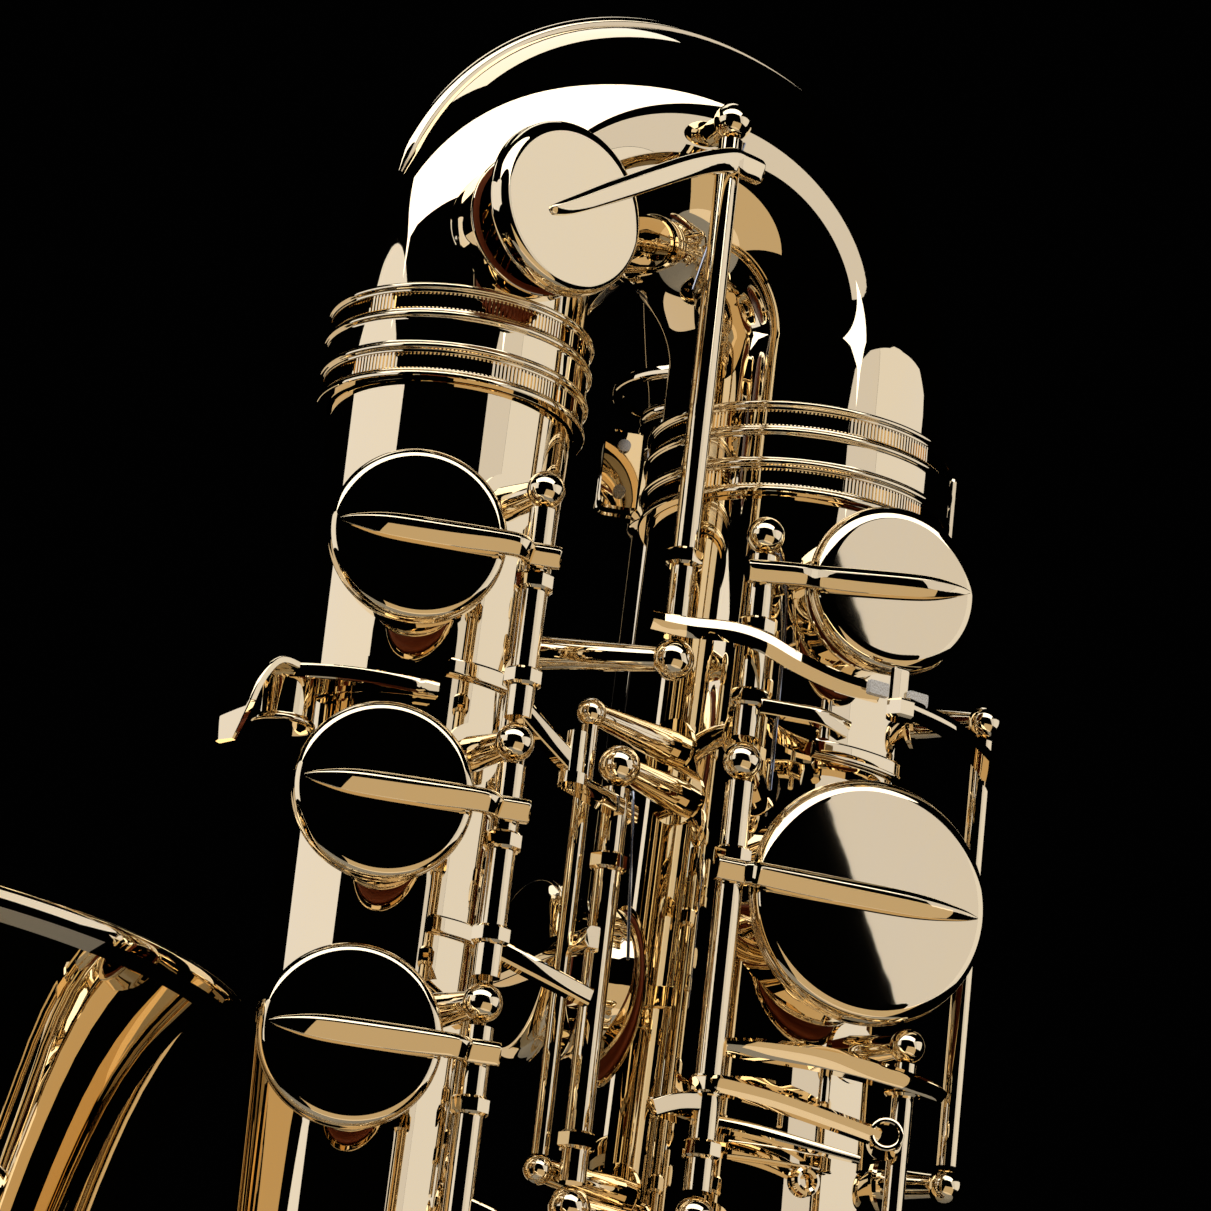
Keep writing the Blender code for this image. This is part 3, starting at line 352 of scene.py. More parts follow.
# Hinge lines, and each key as (tube, height, cup radius, cup angle, hinge, tube ends, opening)
LEFT_HINGE = LEFT + spoke(-82) * 38
BODY_HINGE = Vector((12.0, -41.0, 0))
SIDE_HINGE = Vector((-6.0, -24.0, 0))
LOW_HINGE_R, BELL_HINGE_R = 17.0, 16.0
KEYS = {"palm_1": ("left", 946, 17.3, -121, LEFT_HINGE, (956.2, 913.8), 13),
        "palm_2": ("left", 895, 17.3, -121, LEFT_HINGE, (904.2, 862.8), 13),
        "palm_3": ("left", 848, 17.3, -121, LEFT_HINGE, (853.2, 806.8), 13),
        "stack_1": ("body", 958, 17.5, -91, BODY_HINGE, (958.4, 920.6), -11),
        "stack_2": ("body", 893, 24.5, -90, BODY_HINGE, (911.4, 830.6), -11),
        "side_1": ("body", 878, 19.0, 166, SIDE_HINGE, (909.2, 830.8), 9)}
for name, z, cup in (("stack_3", 784, 24.0), ("stack_4", 715, 25.0), ("stack_5", 644, 26.0),
                     ("stack_6", 571, 27.0), ("low_d", 496, 28.0), ("low_c", 418, 29.5)):
    hinge = RIGHT + spoke(-128) * (body_r(z) + LOW_HINGE_R)
    KEYS[name] = ("body", z, cup, -88, hinge, (z + cup - 1, z - cup + 1), -10)
for name, z, cup in (("low_b", 470, 31.0), ("low_bflat", 610, 33.0)):
    hinge = BELL_AT + spoke(-62) * (bell_r(z) + BELL_HINGE_R)
    KEYS[name] = ("bell", z, cup, -112, hinge, (z + 26, z - 26), 7)


def tone_hole(name):
    """Axis point, tube radius and outward direction of a key's tone hole."""
    leg, z, cup, angle = KEYS[name][:4]
    axis_at, radius = {"left": (LEFT, left_r), "body": (RIGHT, body_r), "bell": (BELL_AT, bell_r)}[leg]
    return Vector((axis_at.x, axis_at.y, z)), radius(z), spoke(angle)


def drill(centre, normal, skin_r, cup, sides=64):
    """The bit that opens a tone hole."""
    return lathe([(cup - 4.2, skin_r * 0.45), (cup - 4.2, skin_r + RISE + 3)], centre, normal, sides)


def chimney(centre, normal, skin_r, cup):
    """Tone hole wall from inside the tube to a rolled rim."""
    wide, bore, top = cup - 3.0, cup - 4.2, skin_r + RISE
    start = math.sqrt(max(skin_r ** 2 - wide ** 2, 4)) - 0.8
    outline = [(bore, start), (wide + 0.5, start), (wide, start + 3.0), (wide, top - 1.4), (wide + 0.5, top - 0.9),
               (wide + 0.5, top), (bore, top)]
    return lathe(soft(outline, 0.5, ring=True), centre, normal, 72, ring=True)


def leg_tube(name, leg, axis_at, low, top, radius_at, low_r, top_r, sides=112, ring_gap=7.0):
    """Closed wall of a conical tube, with rings close enough that each drilled hole stays crisp."""
    count = round((top - low) / ring_gap)
    outer = [(low_r + (top_r - low_r) * i / count, low + (top - low) * i / count) for i in range(count + 1)]
    wall = lathe(outer + [(r - WALL, z) for r, z in reversed(outer)], axis_at, sides=sides, ring=True)
    holes = [(*tone_hole(key), KEYS[key][2]) for key in KEYS if KEYS[key][0] == leg]
    wall = carved(wall, merged(*[drill(centre, normal, r, cup) for centre, r, normal, cup in holes]))
    piece(f"{name}_tube", wall, LACQUER, "instrument", name)
    rims = merged(*[chimney(centre, normal, r, cup) for centre, r, normal, cup in holes])
    piece(f"{name}_tone_holes", rims, LACQUER, "instrument")


leg_tube("climbing_leg", "left", LEFT, LEFT_LOW_Z, JOINT_Z - 0.1, left_r, LEFT_LOW_R, LEFT_TOP_R)
leg_tube("main_body", "body", RIGHT, BODY_LOW_Z + 0.1, JOINT_Z - 0.1, body_r, BODY_LOW_R, BODY_TOP_R)

# Upper bow: one brass tube bent to a half circle over the legs, its bore growing from leg to body.
# Its one tone hole faces the front at the climbing leg's end; a half-round guard runs along the crest.
BOW_Z = 1014.0
TOP_ANGLE, TOP_CUP, TOP_OPENING = 6.0, 17.7, 10
FRONT = Vector((0, -1, 0))


def bow_point(degrees):
    a = math.radians(degrees)
    return Vector((-LEG_HALF * math.cos(a), 0, BOW_Z + LEG_HALF * math.sin(a)))


def bow_r(degrees):
    return LEFT_TOP_R + 0.2 + (BODY_TOP_R - LEFT_TOP_R - 0.2) * degrees / 180


def run_frames(path, start_up):
    """Tangent, side and top at each point of a path, turned as little as possible from one to the next."""
    frames, top = [], Vector(start_up)
    for i in range(len(path)):
        tangent = (path[min(i + 1, len(path) - 1)] - path[max(i - 1, 0)]).normalized()
        side = tangent.cross(top).normalized()
        top = side.cross(tangent).normalized()
        frames.append((tangent, side, top))
    return frames


def skinned(rings, closed_ring=False):
    """Loft through rings of points, capped at both ends or joined into a closed wall."""
    mesh = bmesh.new()
    rows = [[mesh.verts.new(p) for p in ring] for ring in rings]
    for low, high in list(zip(rows, rows[1:])) + ([(rows[-1], rows[0])] if closed_ring else []):
        for i in range(len(low)):
            j = (i + 1) % len(low)
            mesh.faces.new((low[i], low[j], high[j], high[i]))
    if not closed_ring:
        mesh.faces.new(rows[0][::-1])
        mesh.faces.new(rows[-1])
    bmesh.ops.recalc_face_normals(mesh, faces=mesh.faces)
    return mesh


def bent_tube(path, radii, wall=None, sides=96, start_up=(0, 1, 0)):
    """Round tube or wire along a path; with a wall it is hollow and open at both ends."""
    frames = run_frames(path, start_up)
    turns = [2 * math.pi * i / sides for i in range(sides)]

    def rings(shrink):
        return [[p + (side * math.cos(a) + top * math.sin(a)) * (r - shrink) for a in turns]
                for p, r, (_, side, top) in zip(path, radii, frames)]
    return skinned(rings(0) + rings(wall)[::-1], True) if wall else skinned(rings(0))


def flowing(points, steps=6):
    """Smooth curve through points, each a Vector of any length."""
    made = []
    for i in range(len(points) - 1):
        a, b = points[max(i - 1, 0)], points[i]
        c, d = points[i + 1], points[min(i + 2, len(points) - 1)]
        for k in range(steps):
            t = k / steps
            made.append(0.5 * ((2 * b) + (c - a) * t + (2 * a - 5 * b + 4 * c - d) * t ** 2
                               + (3 * b - a - 3 * c + d) * t ** 3))
    return made + [points[-1]]


BOW_STEPS = 72
bow_turns = [180 * i / BOW_STEPS for i in range(BOW_STEPS + 1)]
straight = [JOINT_Z + 0.1 + (BOW_Z - JOINT_Z) * i / 4 for i in range(4)]
bow_path = [Vector((-LEG_HALF, 0, z)) for z in straight] + [bow_point(d) for d in bow_turns]
bow_path += [Vector((LEG_HALF, 0, z)) for z in straight[::-1]]
bow_radii = [LEFT_TOP_R + 0.05 * i for i in range(4)] + [bow_r(d) for d in bow_turns] + [BODY_TOP_R] * 4
bow_wall = bent_tube(bow_path, bow_radii, WALL, 112)
bow_wall = carved(bow_wall, drill(bow_point(TOP_ANGLE), FRONT, bow_r(TOP_ANGLE), TOP_CUP))
piece("upper_bow_tube", bow_wall, LACQUER, "instrument", "upper_bow")
piece("upper_bow_tone_hole", chimney(bow_point(TOP_ANGLE), FRONT, bow_r(TOP_ANGLE), TOP_CUP), LACQUER, "instrument")

RIDGE = [(-0.46, 0.0), (-0.5, 0.1), (-0.5, 0.58), (-0.485, 0.66), (-0.45, 0.71), (0.2, 0.985), (0.24, 0.995),
         (0.28, 0.985), (0.45, 0.8), (0.485, 0.74), (0.5, 0.66), (0.5, 0.1), (0.46, 0.0)]
LEFT_RIDGE = [(-x, y) for x, y in reversed(RIDGE)]
FLAT = [(-0.5, 0.12), (-0.5, 0.82), (-0.47, 0.94), (-0.4, 1.0), (0.4, 1.0), (0.47, 0.94), (0.5, 0.82),
        (0.5, 0.12), (0.44, 0.0), (-0.44, 0.0)]


def strip(path, sizes, up, section, steps=6):
    """Bar of one section swept along a smooth path; sizes are its (width, thickness) at each point."""
    run = flowing([Vector((*p, *size)) for p, size in zip(path, sizes)], steps)
    points = [Vector(v[:3]) for v in run]
    rings = []
    for i, (p, v) in enumerate(zip(points, run)):
        tangent = (points[min(i + 1, len(points) - 1)] - points[max(i - 1, 0)]).normalized()
        side = tangent.cross(Vector(up)).normalized()
        top = side.cross(tangent).normalized()
        rings.append([p + side * (x * v[3]) + top * (y * v[4]) for x, y in section])
    return skinned(rings)


GUARD_LEAN = math.radians(20)
HALF_ROUND = [(-1.45, -0.9), (-1.45, 0.1), (-1.2, 0.75), (-0.7, 1.2), (0.0, 1.4), (0.7, 1.2), (1.2, 0.75), (1.45, 0.1),
              (1.45, -0.9)]
guard_rings = []
for i in range(75):
    degrees = 14 + 2.0 * min(i, 62) + 0.4 * max(i - 62, 0)
    taper = min(1.0, 0.35 + 0.25 * min(i, 74 - i))
    centre = bow_point(degrees)
    along = Vector((math.sin(math.radians(degrees)), 0, math.cos(math.radians(degrees))))
    out = (centre - Vector((0, 0, BOW_Z))).normalized() * math.cos(GUARD_LEAN) + FRONT * math.sin(GUARD_LEAN)
    side = along.cross(out)
    seat = centre + out * (bow_r(degrees) + 0.35)
    guard_rings.append([seat + side * (x * taper) + out * (y * (taper if y > 0 else 1)) for x, y in HALF_ROUND])
piece("bow_guard_strip", skinned(guard_rings), LACQUER, "instrument", "bow_guard")

# Ferrules: brass sleeves turned with two beads and two milled bands, soldered over the tube joints.
# The milling is a row of fine upright teeth, pressed in with a knurl.
FERRULES = {"ferrule_left": (LEFT, 983.0, LEFT_TOP_R + 0.2, 204), "ferrule_right": (RIGHT, 979.0, BODY_TOP_R + 0.3, 248)}
MILLED_AT, TOOTH, GROOVE = (3.5, 16.5), (0.40, 3.3, 0.9), 0.6


def geometry_tree(name, sizes):
    """Geometry Nodes tree with named number inputs; returns it with its input and output nodes."""
    tree = bpy.data.node_groups.new(name, "GeometryNodeTree")
    tree.interface.new_socket("Geometry", in_out="INPUT", socket_type="NodeSocketGeometry")
    for label, kind in sizes:
        tree.interface.new_socket(label, in_out="INPUT", socket_type=kind)
    tree.interface.new_socket("Geometry", in_out="OUTPUT", socket_type="NodeSocketGeometry")
    return tree, tree.nodes.new("NodeGroupInput"), tree.nodes.new("NodeGroupOutput")


def link_up(tree, kind, inputs, **settings):
    """Adds a node, sets its settings and links or sets its inputs by name or number."""
    node = tree.nodes.new(kind)
    for key, value in settings.items():
        setattr(node, key, value)
    for key, value in inputs.items():
        if hasattr(value, "is_output"):
            tree.links.new(value, node.inputs[key])
        else:
            node.inputs[key].default_value = value
    return node


def finish_tree(tree, out, geometry, finish):
    real = link_up(tree, "GeometryNodeRealizeInstances", {"Geometry": geometry})
    painted = link_up(tree, "GeometryNodeSetMaterial", {"Geometry": real.outputs[0], "Material": finish})
    tree.links.new(painted.outputs[0], out.inputs[0])


def grown(name, tree, values, seed_mesh=None):
    """Mesh in metres that the tree makes with these input values."""
    obj = bpy.data.objects.new(name, seed_mesh or bpy.data.meshes.new(name))
    bpy.context.scene.collection.objects.link(obj)
    step = obj.modifiers.new("grow", "NODES")
    step.node_group = tree
    for item in tree.interface.items_tree:
        if item.in_out == "INPUT" and item.name in values:
            step[item.identifier] = values[item.name]
    data = bpy.data.meshes.new_from_object(obj.evaluated_get(bpy.context.evaluated_depsgraph_get()))
    bpy.data.objects.remove(obj, do_unlink=True)
    return data


def milling_tree():
    """Upright teeth on a circle."""
    tree, given, out = geometry_tree("milled_band", (("Count", "NodeSocketInt"), ("Radius", "NodeSocketFloat"),
                                                     ("Tooth", "NodeSocketVector"), ("Centre", "NodeSocketVector")))
    circle = link_up(tree, "GeometryNodeMeshCircle", {"Vertices": given.outputs["Count"],
                                                      "Radius": given.outputs["Radius"]})
    tooth = link_up(tree, "GeometryNodeMeshCube", {"Size": given.outputs["Tooth"]})
    place = link_up(tree, "GeometryNodeInputPosition", {})
    turn = link_up(tree, "FunctionNodeAlignRotationToVector", {"Vector": place.outputs[0]}, axis="X",
                   pivot_axis="Z")
    teeth = link_up(tree, "GeometryNodeInstanceOnPoints", {"Points": circle.outputs[0], "Instance": tooth.outputs[0],
                                                           "Rotation": turn.outputs[0]})
    moved = link_up(tree, "GeometryNodeTransform", {"Geometry": teeth.outputs[0],
                                                    "Translation": given.outputs["Centre"]})
    finish_tree(tree, out, moved.outputs[0], LACQUER)
    return tree


MILLING = milling_tree()


def milled_band(at, z, radius, count):
    tooth = Vector((TOOTH[2], TOOTH[0], TOOTH[1])) * MM
    centre = (Vector((at.x, at.y, z)) - SOCKET) * MM
    return grown("teeth", MILLING, {"Count": count, "Radius": radius * MM, "Tooth": tooth, "Centre": centre})


for name, (at, z, r, teeth) in FERRULES.items():
    inner = r + 0.1
    outline = [(inner, z), (r + 2.4, z), (r + 2.4, z + 1.0), (r + 1.7, z + 1.5), (r + 1.7, z + 1.8), (r + 1.7 - GROOVE, z + 1.9),
               (r + 1.7 - GROOVE, z + 5.1), (r + 1.7, z + 5.2), (r + 1.7, z + 5.8), (r + 2.5, z + 6.1),
               (r + 2.5, z + 7.0), (r + 1.8, z + 7.3), (r + 1.8, z + 12.7), (r + 2.5, z + 13.0), (r + 2.5, z + 13.9),
               (r + 1.7, z + 14.2), (r + 1.7, z + 14.8), (r + 1.7 - GROOVE, z + 14.9), (r + 1.7 - GROOVE, z + 18.1),
               (r + 1.7, z + 18.2), (r + 1.7, z + 18.8), (r + 2.3, z + 19.1), (r + 2.3, z + 20.0), (inner, z + 20.4)]
    sleeve = lathe(soft(outline, 0.32, ring=True), at, sides=128, ring=True)
    piece(f"{name}_sleeve", sleeve, LACQUER, "instrument", name)
    bands = bmesh.new()
    for height in MILLED_AT:
        data = milled_band(at, z + height, r + 1.7 - TOOTH[2] / 2, teeth)
        bands.from_mesh(data)
        bpy.data.meshes.remove(data)
    bands.transform(Matrix.Translation(SOCKET) @ Matrix.Scale(1 / MM, 4))
    piece(f"{name}_milling", bands, LACQUER, "instrument")

# Posts: turned brass balls on tapered stems, each soldered to the tube by a thin round flange and
# drilled for the steel rod of its hinge. Every hinge line has one at each end.
FLANGE_R, FLANGE_T = 6.1, 1.5
STEM_WIDE, STEM_THIN = 3.6, 2.3


def post_tree():
    """A ball on each point, and a stem with a flange that reach from it back to the tube."""
    tree, given, out = geometry_tree("posts", (("Flange", "NodeSocketFloat"), ("Flange Depth", "NodeSocketFloat"),
                                               ("Stem Foot", "NodeSocketFloat"), ("Stem Neck", "NodeSocketFloat")))
    points = given.outputs["Geometry"]

    def stored(label, kind):
        return link_up(tree, "GeometryNodeInputNamedAttribute", {"Name": label}, data_type=kind).outputs[0]
    out_way, reach, ball_r = stored("out", "FLOAT_VECTOR"), stored("reach", "FLOAT"), stored("ball", "FLOAT")
    turn = link_up(tree, "FunctionNodeAlignRotationToVector", {"Vector": out_way}, axis="Z").outputs[0]
    back = link_up(tree, "ShaderNodeVectorMath", {0: out_way, "Scale": reach}, operation="SCALE").outputs[0]
    feet = link_up(tree, "ShaderNodeVectorMath", {0: (0, 0, 0), 1: back}, operation="SUBTRACT").outputs[0]
    base = link_up(tree, "GeometryNodeSetPosition", {"Geometry": points, "Offset": feet}).outputs[0]
    ball = link_up(tree, "GeometryNodeMeshUVSphere", {"Segments": 28, "Rings": 16, "Radius": 1.0}).outputs[0]
    balls = link_up(tree, "GeometryNodeInstanceOnPoints", {"Points": points, "Instance": ball, "Rotation": turn,
                                                           "Scale": ball_r}).outputs[0]
    stem = link_up(tree, "GeometryNodeMeshCone", {"Vertices": 28, "Radius Top": given.outputs["Stem Neck"],
                                                  "Radius Bottom": given.outputs["Stem Foot"], "Depth": 1.0})
    tall = link_up(tree, "ShaderNodeCombineXYZ", {0: 1.0, 1: 1.0, 2: reach}).outputs[0]
    stems = link_up(tree, "GeometryNodeInstanceOnPoints", {"Points": base, "Instance": stem.outputs[0],
                                                           "Rotation": turn, "Scale": tall}).outputs[0]
    disc = link_up(tree, "GeometryNodeMeshCylinder", {"Vertices": 40, "Radius": given.outputs["Flange"],
                                                      "Depth": given.outputs["Flange Depth"]}).outputs[0]
    discs = link_up(tree, "GeometryNodeInstanceOnPoints", {"Points": base, "Instance": disc,
                                                           "Rotation": turn}).outputs[0]
    both = tree.nodes.new("GeometryNodeJoinGeometry")
    for part in (balls, stems, discs):
        tree.links.new(part, both.inputs[0])
    finish_tree(tree, out, both.outputs[0], LACQUER)
    return tree


def post_row(places):
    """Points in metres that carry each post's direction, its reach to the skin and its ball."""
    data = bpy.data.meshes.new("post_places")
    data.from_pydata([(ball_at - SOCKET) * MM for ball_at, _, _, _ in places], [], [])
    for label, kind, field in (("out", "FLOAT_VECTOR", "vector"), ("reach", "FLOAT", "value"),
                               ("ball", "FLOAT", "value")):
        layer = data.attributes.new(label, kind, "POINT")
        for i, (_, out, reach, ball) in enumerate(places):
            setattr(layer.data[i], field, {"out": out, "reach": reach * MM, "ball": ball * MM}[label])
    return data


def post_at(axis_at, skin_r, hinge, z, ball=3.8):
    """A post on the tube round axis_at, in the plane of its hinge."""
    out = Vector((hinge.x - axis_at.x, hinge.y - axis_at.y, 0))
    return Vector((hinge.x, hinge.y, z)), out.normalized(), out.length - skin_r + 0.3, ball


OUTER_HINGE = RIGHT + spoke(-50) * 46
TRILL_HINGE = RIGHT + spoke(-77) * 48        # short rod beside the second stack key
BACK_HINGE = Vector((-11.5, -20.0, 0))       # thin rod behind the side key's
posts = [post_at(LEFT, left_r(z), LEFT_HINGE, z) for z in (960.5, 909.0, 858.0, 802.0)]
posts.append(post_at(LEFT, left_r(935), Vector((-2.0, -34.0, 0)), 935.0, 4.2))
posts += [post_at(RIGHT, body_r(z), BODY_HINGE, z) for z in (963.0, 916.0, 826.0)]
posts += [post_at(RIGHT, body_r(z), SIDE_HINGE, z, 4.2) for z in (914.0, 826.0)]
posts += [post_at(RIGHT, body_r(z), OUTER_HINGE, z, 3.6) for z in (939.0, 843.0)]
posts += [post_at(RIGHT, body_r(z), TRILL_HINGE, z, 3.5) for z in (866.0, 820.0)]
posts += [post_at(RIGHT, body_r(z), BACK_HINGE, z, 3.0) for z in (924.6, 832.8)]
for name, key in KEYS.items():
    if key[0] == "body" and key[1] < 800:
        posts += [post_at(RIGHT, body_r(z), key[4], z) for z in (key[5][0] + 4.6, key[5][1] - 4.6)]
    if key[0] == "bell":
        posts += [post_at(BELL_AT, bell_r(z), key[4], z) for z in (key[5][0] + 4.4, key[5][1] - 4.4)]
posts.append((Vector((-2.0, -34.0, 1052.0)), FRONT, 12.0, 4.0))
post_data = grown("posts", post_tree(), {"Flange": FLANGE_R * MM, "Flange Depth": FLANGE_T * MM,
                                         "Stem Foot": STEM_WIDE * MM, "Stem Neck": STEM_THIN * MM}, post_row(posts))
post_mesh = bmesh.new()
post_mesh.from_mesh(post_data)
post_mesh.transform(Matrix.Translation(SOCKET) @ Matrix.Scale(1 / MM, 4))
piece("posts", post_mesh, LACQUER, "instrument")

# Keys: a turned cup on a ridged, hand-filed arm, brazed to a hinge tube that turns on a steel rod
# between two posts. Each is made closed and then swung open, as the springs hold it.
PAD_EDGE, EDGE_R, BROAD_EDGE_R = 1.5, 2.1, 3.0
COLLAR_R, COLLAR_TALL, COLLAR_TURN = 3.9, 3.5, -4.5


def pad_leather():
    """Felt disc in red-brown kid leather with a fine grain."""
    finish = Finish("pad_leather")
    grain = finish.add("ShaderNodeTexVoronoi", None, {"Vector": finish.place(), "Scale": 1400.0})
    blotch = finish.noise(60.0, 4.0)
    return finish.give(base_color=finish.mix(blotch, (0.22, 0.035, 0.012), (0.42, 0.10, 0.035)),
                       roughness=blotch * 0.25 + 0.38, normal=finish.bump(grain, 0.25, 0.0002))


PAD = pad_leather()


def swung(mesh, hinge, degrees):
    """The mesh turned about an upright hinge line."""
    turn = Matrix.Translation(hinge) @ Matrix.Rotation(math.radians(degrees), 4, "Z") @ Matrix.Translation(-hinge)
    mesh.transform(turn)
    return mesh


def cup_shell(centre, normal, plane, radius, edge=EDGE_R):
    """Cup with a flat face, a broadly rounded edge and a skirt with a fine foot bead."""
    low, top = plane + CUP_GAP + 1.3, plane + CUP_GAP + PAD_T + 2.2
    skirt = [(radius - 1.1, low + 0.4), (radius - 1.1, low), (radius + 0.1, low), (radius + 0.1, low + 0.7),
             (radius, low + 0.9)]
    turns = [math.radians(90 * i / 9) for i in range(10)]
    rounded = [(radius - edge + edge * math.cos(a), top - edge + edge * math.sin(a)) for a in turns]
    return lathe([(radius - 1.1, top - 2.0)] + soft(skirt, 0.25) + rounded + [(radius - edge - 0.4, top)], centre,
                 normal, 112)


def pad_disc(centre, normal, plane, radius):
    """Pad with the ring that its tone hole has pressed into it."""
    low = plane + CUP_GAP
    edge, seat = radius - PAD_EDGE, radius - 3.6
    outline = [(seat - 1.6, low), (seat, low + 0.35), (seat + 0.9, low), (edge - 0.3, low + 0.1),
               (edge + 0.1, low + 1.0), (edge + 0.15, low + 2.4), (edge - 0.4, low + PAD_T)]
    return lathe(soft(outline, 0.5), centre, normal, 80)


def hinge_rod(at, top, low, radius=2.7, collars=(), opening=0):
    """Hinge tube, faced at its ends, with an octagonal collar at each height in collars."""
    line = Vector((at.x, at.y, 0))
    shells = [lathe(soft([(radius, low), (radius, top)], 0.2, 2), line, sides=40)]
    for z in collars:
        low_edge, high_edge = z - COLLAR_TALL / 2, z + COLLAR_TALL / 2
        shape = [(COLLAR_R - 0.55, low_edge), (COLLAR_R, low_edge + 0.5), (COLLAR_R, high_edge - 0.5),
                 (COLLAR_R - 0.55, high_edge)]
        shells.append(swung(lathe(shape, line, sides=8), line, COLLAR_TURN - opening))
    return merged(*shells)


def spear_arm(hinge, centre, normal, lift, radius, z_hinge):
    """Ridged arm: a square end in front of the hinge tube, a bend up over the cup's edge, and a long point."""
    start = Vector((hinge.x, hinge.y, z_hinge))
    over = centre + normal * lift
    line = over - start
    flat = (line - normal * line.dot(normal)).normalized()
    edge, tip = over - flat * radius * 0.98, over + flat * radius * 0.90
    lifted = start + normal * 1.7
    section = RIDGE if flat.x < 0 else LEFT_RIDGE
    path = [lifted - flat * 3.9, lifted - flat * 3.6, lifted, lifted + flat * 3.0, edge.lerp(lifted, 0.35) + normal * 0.9,
            edge + normal * 0.6, over.lerp(edge, 0.45), over.lerp(tip, 0.35), over.lerp(tip, 0.8), tip]
    sizes = [(3.9, 2.6), (4.4, 3.0), (4.5, 3.0), (4.5, 3.0), (4.4, 3.0), (4.6, 3.0), (5.0, 3.0), (4.6, 2.6),
             (2.5, 1.5), (0.4, 0.3)]
    return strip(path, sizes, normal, section)


LEVERS = {"palm_1": ((914.0, 0, 0), (909.5, 5.5, -0.7), (904.6, 12.5, -1.3)),
          "palm_2": ((867.0, 0, 0), (864, 9, -2), (861.0, 20, -3)),
          "palm_3": ((818.0, 0, 0), (815.5, 8, -2), (812.5, 15, -3)),
          "stack_2": ((846.0, 0, 0), (845, -6, 0), (843, -11, 0)),
          "side_1": ((903.4, 4.5, 1.5), (903.6, -6, -4.5), (903.8, -17, -10.5))}
TOUCHES = ("stack_3", "stack_4", "stack_5", "stack_6")
TOUCH_FACING, TOUCH_OUT, TOUCH_R = spoke(-97), Vector((-15.5, -3.5, 0)), 8.0


def mother_of_pearl():
    """Shell with soft pink and green clouds under a polish."""
    finish = Finish("mother_of_pearl")
    cloud = finish.noise(220.0, 3.0, finish.place(1.0, 1.0, 0.4))
    tinge = finish.mix(finish.noise(340.0, 2.0), (0.88, 0.80, 0.78), (0.74, 0.86, 0.80))
    return finish.give(base_color=finish.mix(cloud, tinge, (0.93, 0.92, 0.88)), roughness=cloud * 0.1 + 0.08,
                       coat_weight=0.6, coat_roughness=0.04)


PEARL = mother_of_pearl()


def make_key(name):
    leg, z, cup, angle, hinge, (top, low), opening = KEYS[name]
    centre, skin_r, normal = tone_hole(name)
    plane = skin_r + RISE
    line = Vector((hinge.x, hinge.y, z))
    collars = [low + 8.0, top - 15.0] if z > 800 else []
    shells = [hinge_rod(hinge, top, low, collars=collars, opening=opening), cup_shell(centre, normal, plane, cup, BROAD_EDGE_R if leg == "body" else EDGE_R),
              spear_arm(hinge, centre, normal, plane + CUP_GAP + PAD_T + 1.9, cup, min(max(z, low + 4), top - 4))]
    if name in TOUCHES:
        middle = line + TOUCH_OUT
        arm = [line + Vector((0.5, 0, -9)), line + TOUCH_OUT * 0.5 - UP * 5, middle - TOUCH_FACING * 0.8]
        shells.append(strip(arm, [(4.6, 2.2)] * 3, TOUCH_FACING, FLAT))
        holder = [(TOUCH_R - 1.5, 0), (TOUCH_R, 1.2), (TOUCH_R, 3.2), (TOUCH_R - 0.9, 3.2), (TOUCH_R - 0.9, 1.8)]
        shells.append(lathe(soft(holder, 0.3), middle, TOUCH_FACING, 48))
        pearl = lathe(soft([(TOUCH_R - 1.2, 2.1), (TOUCH_R - 1.2, 3.2), (TOUCH_R * 0.5, 3.9)], 0.5), middle,
                      TOUCH_FACING, 48)
        piece(f"touch_pearl_{name}", swung(pearl, line, opening), PEARL, f"key_{name}", f"pearl_{name}", slot="pearl")
    made = swung(merged(*shells), line, opening)
    if name in LEVERS:
        path = [hinge + Vector((x, y, height)) for height, x, y in LEVERS[name]]
        made = merged(made, strip(path, [(3.4, 3.6)] * 2 + [(2.8, 3.4)], UP, FLAT))
    piece(f"{name}_key", made, LACQUER, f"key_{name}", f"key_{name}")
    pad = swung(pad_disc(centre, normal, plane, cup), line, opening)
    piece(f"{name}_pad", pad, PAD, f"key_{name}", f"pad_{name}", slot="pad_leather")


for key_name in KEYS:
    make_key(key_name)

# Bow key: the highest tone hole's cup, on a long hinge tube that runs down between the two legs.
# A flat S-shaped lever at its foot reaches over to the outer rod's lever, which works it.
TOP_HINGE = Vector((-2.0, -34.0, 0))
TOP_SPAN = (1047.6, 939.6)
bow_centre, bow_plane = bow_point(TOP_ANGLE), bow_r(TOP_ANGLE) + RISE
bow_hinge = Vector((TOP_HINGE.x, TOP_HINGE.y, 1000))
over = bow_centre + FRONT * (bow_plane + CUP_GAP + PAD_T + 1.9)
start = Vector((TOP_HINGE.x, TOP_HINGE.y - 2.4, 1041.0))
arm_path = [start + Vector((5.6, 0, 0.6)), start + Vector((5.2, 0, 0.6)), start + Vector((1, 0, 0.6)),
            start - Vector((3, 0, -0.2)), start.lerp(over, 0.35) - Vector((0, 1.6, -2.4)),
            start.lerp(over, 0.7) - Vector((0, 0.6, -1.2)), over, over + (over - start).normalized() * 5.2,
            over + (over - start).normalized() * 6.6]
arm_sizes = [(4.4, 2.6), (5.0, 3.0), (5.2, 3.0), (5.0, 3.0), (4.6, 2.9), (4.4, 2.8), (3.4, 2.2), (2.2, 1.6), (0.9, 0.6)]
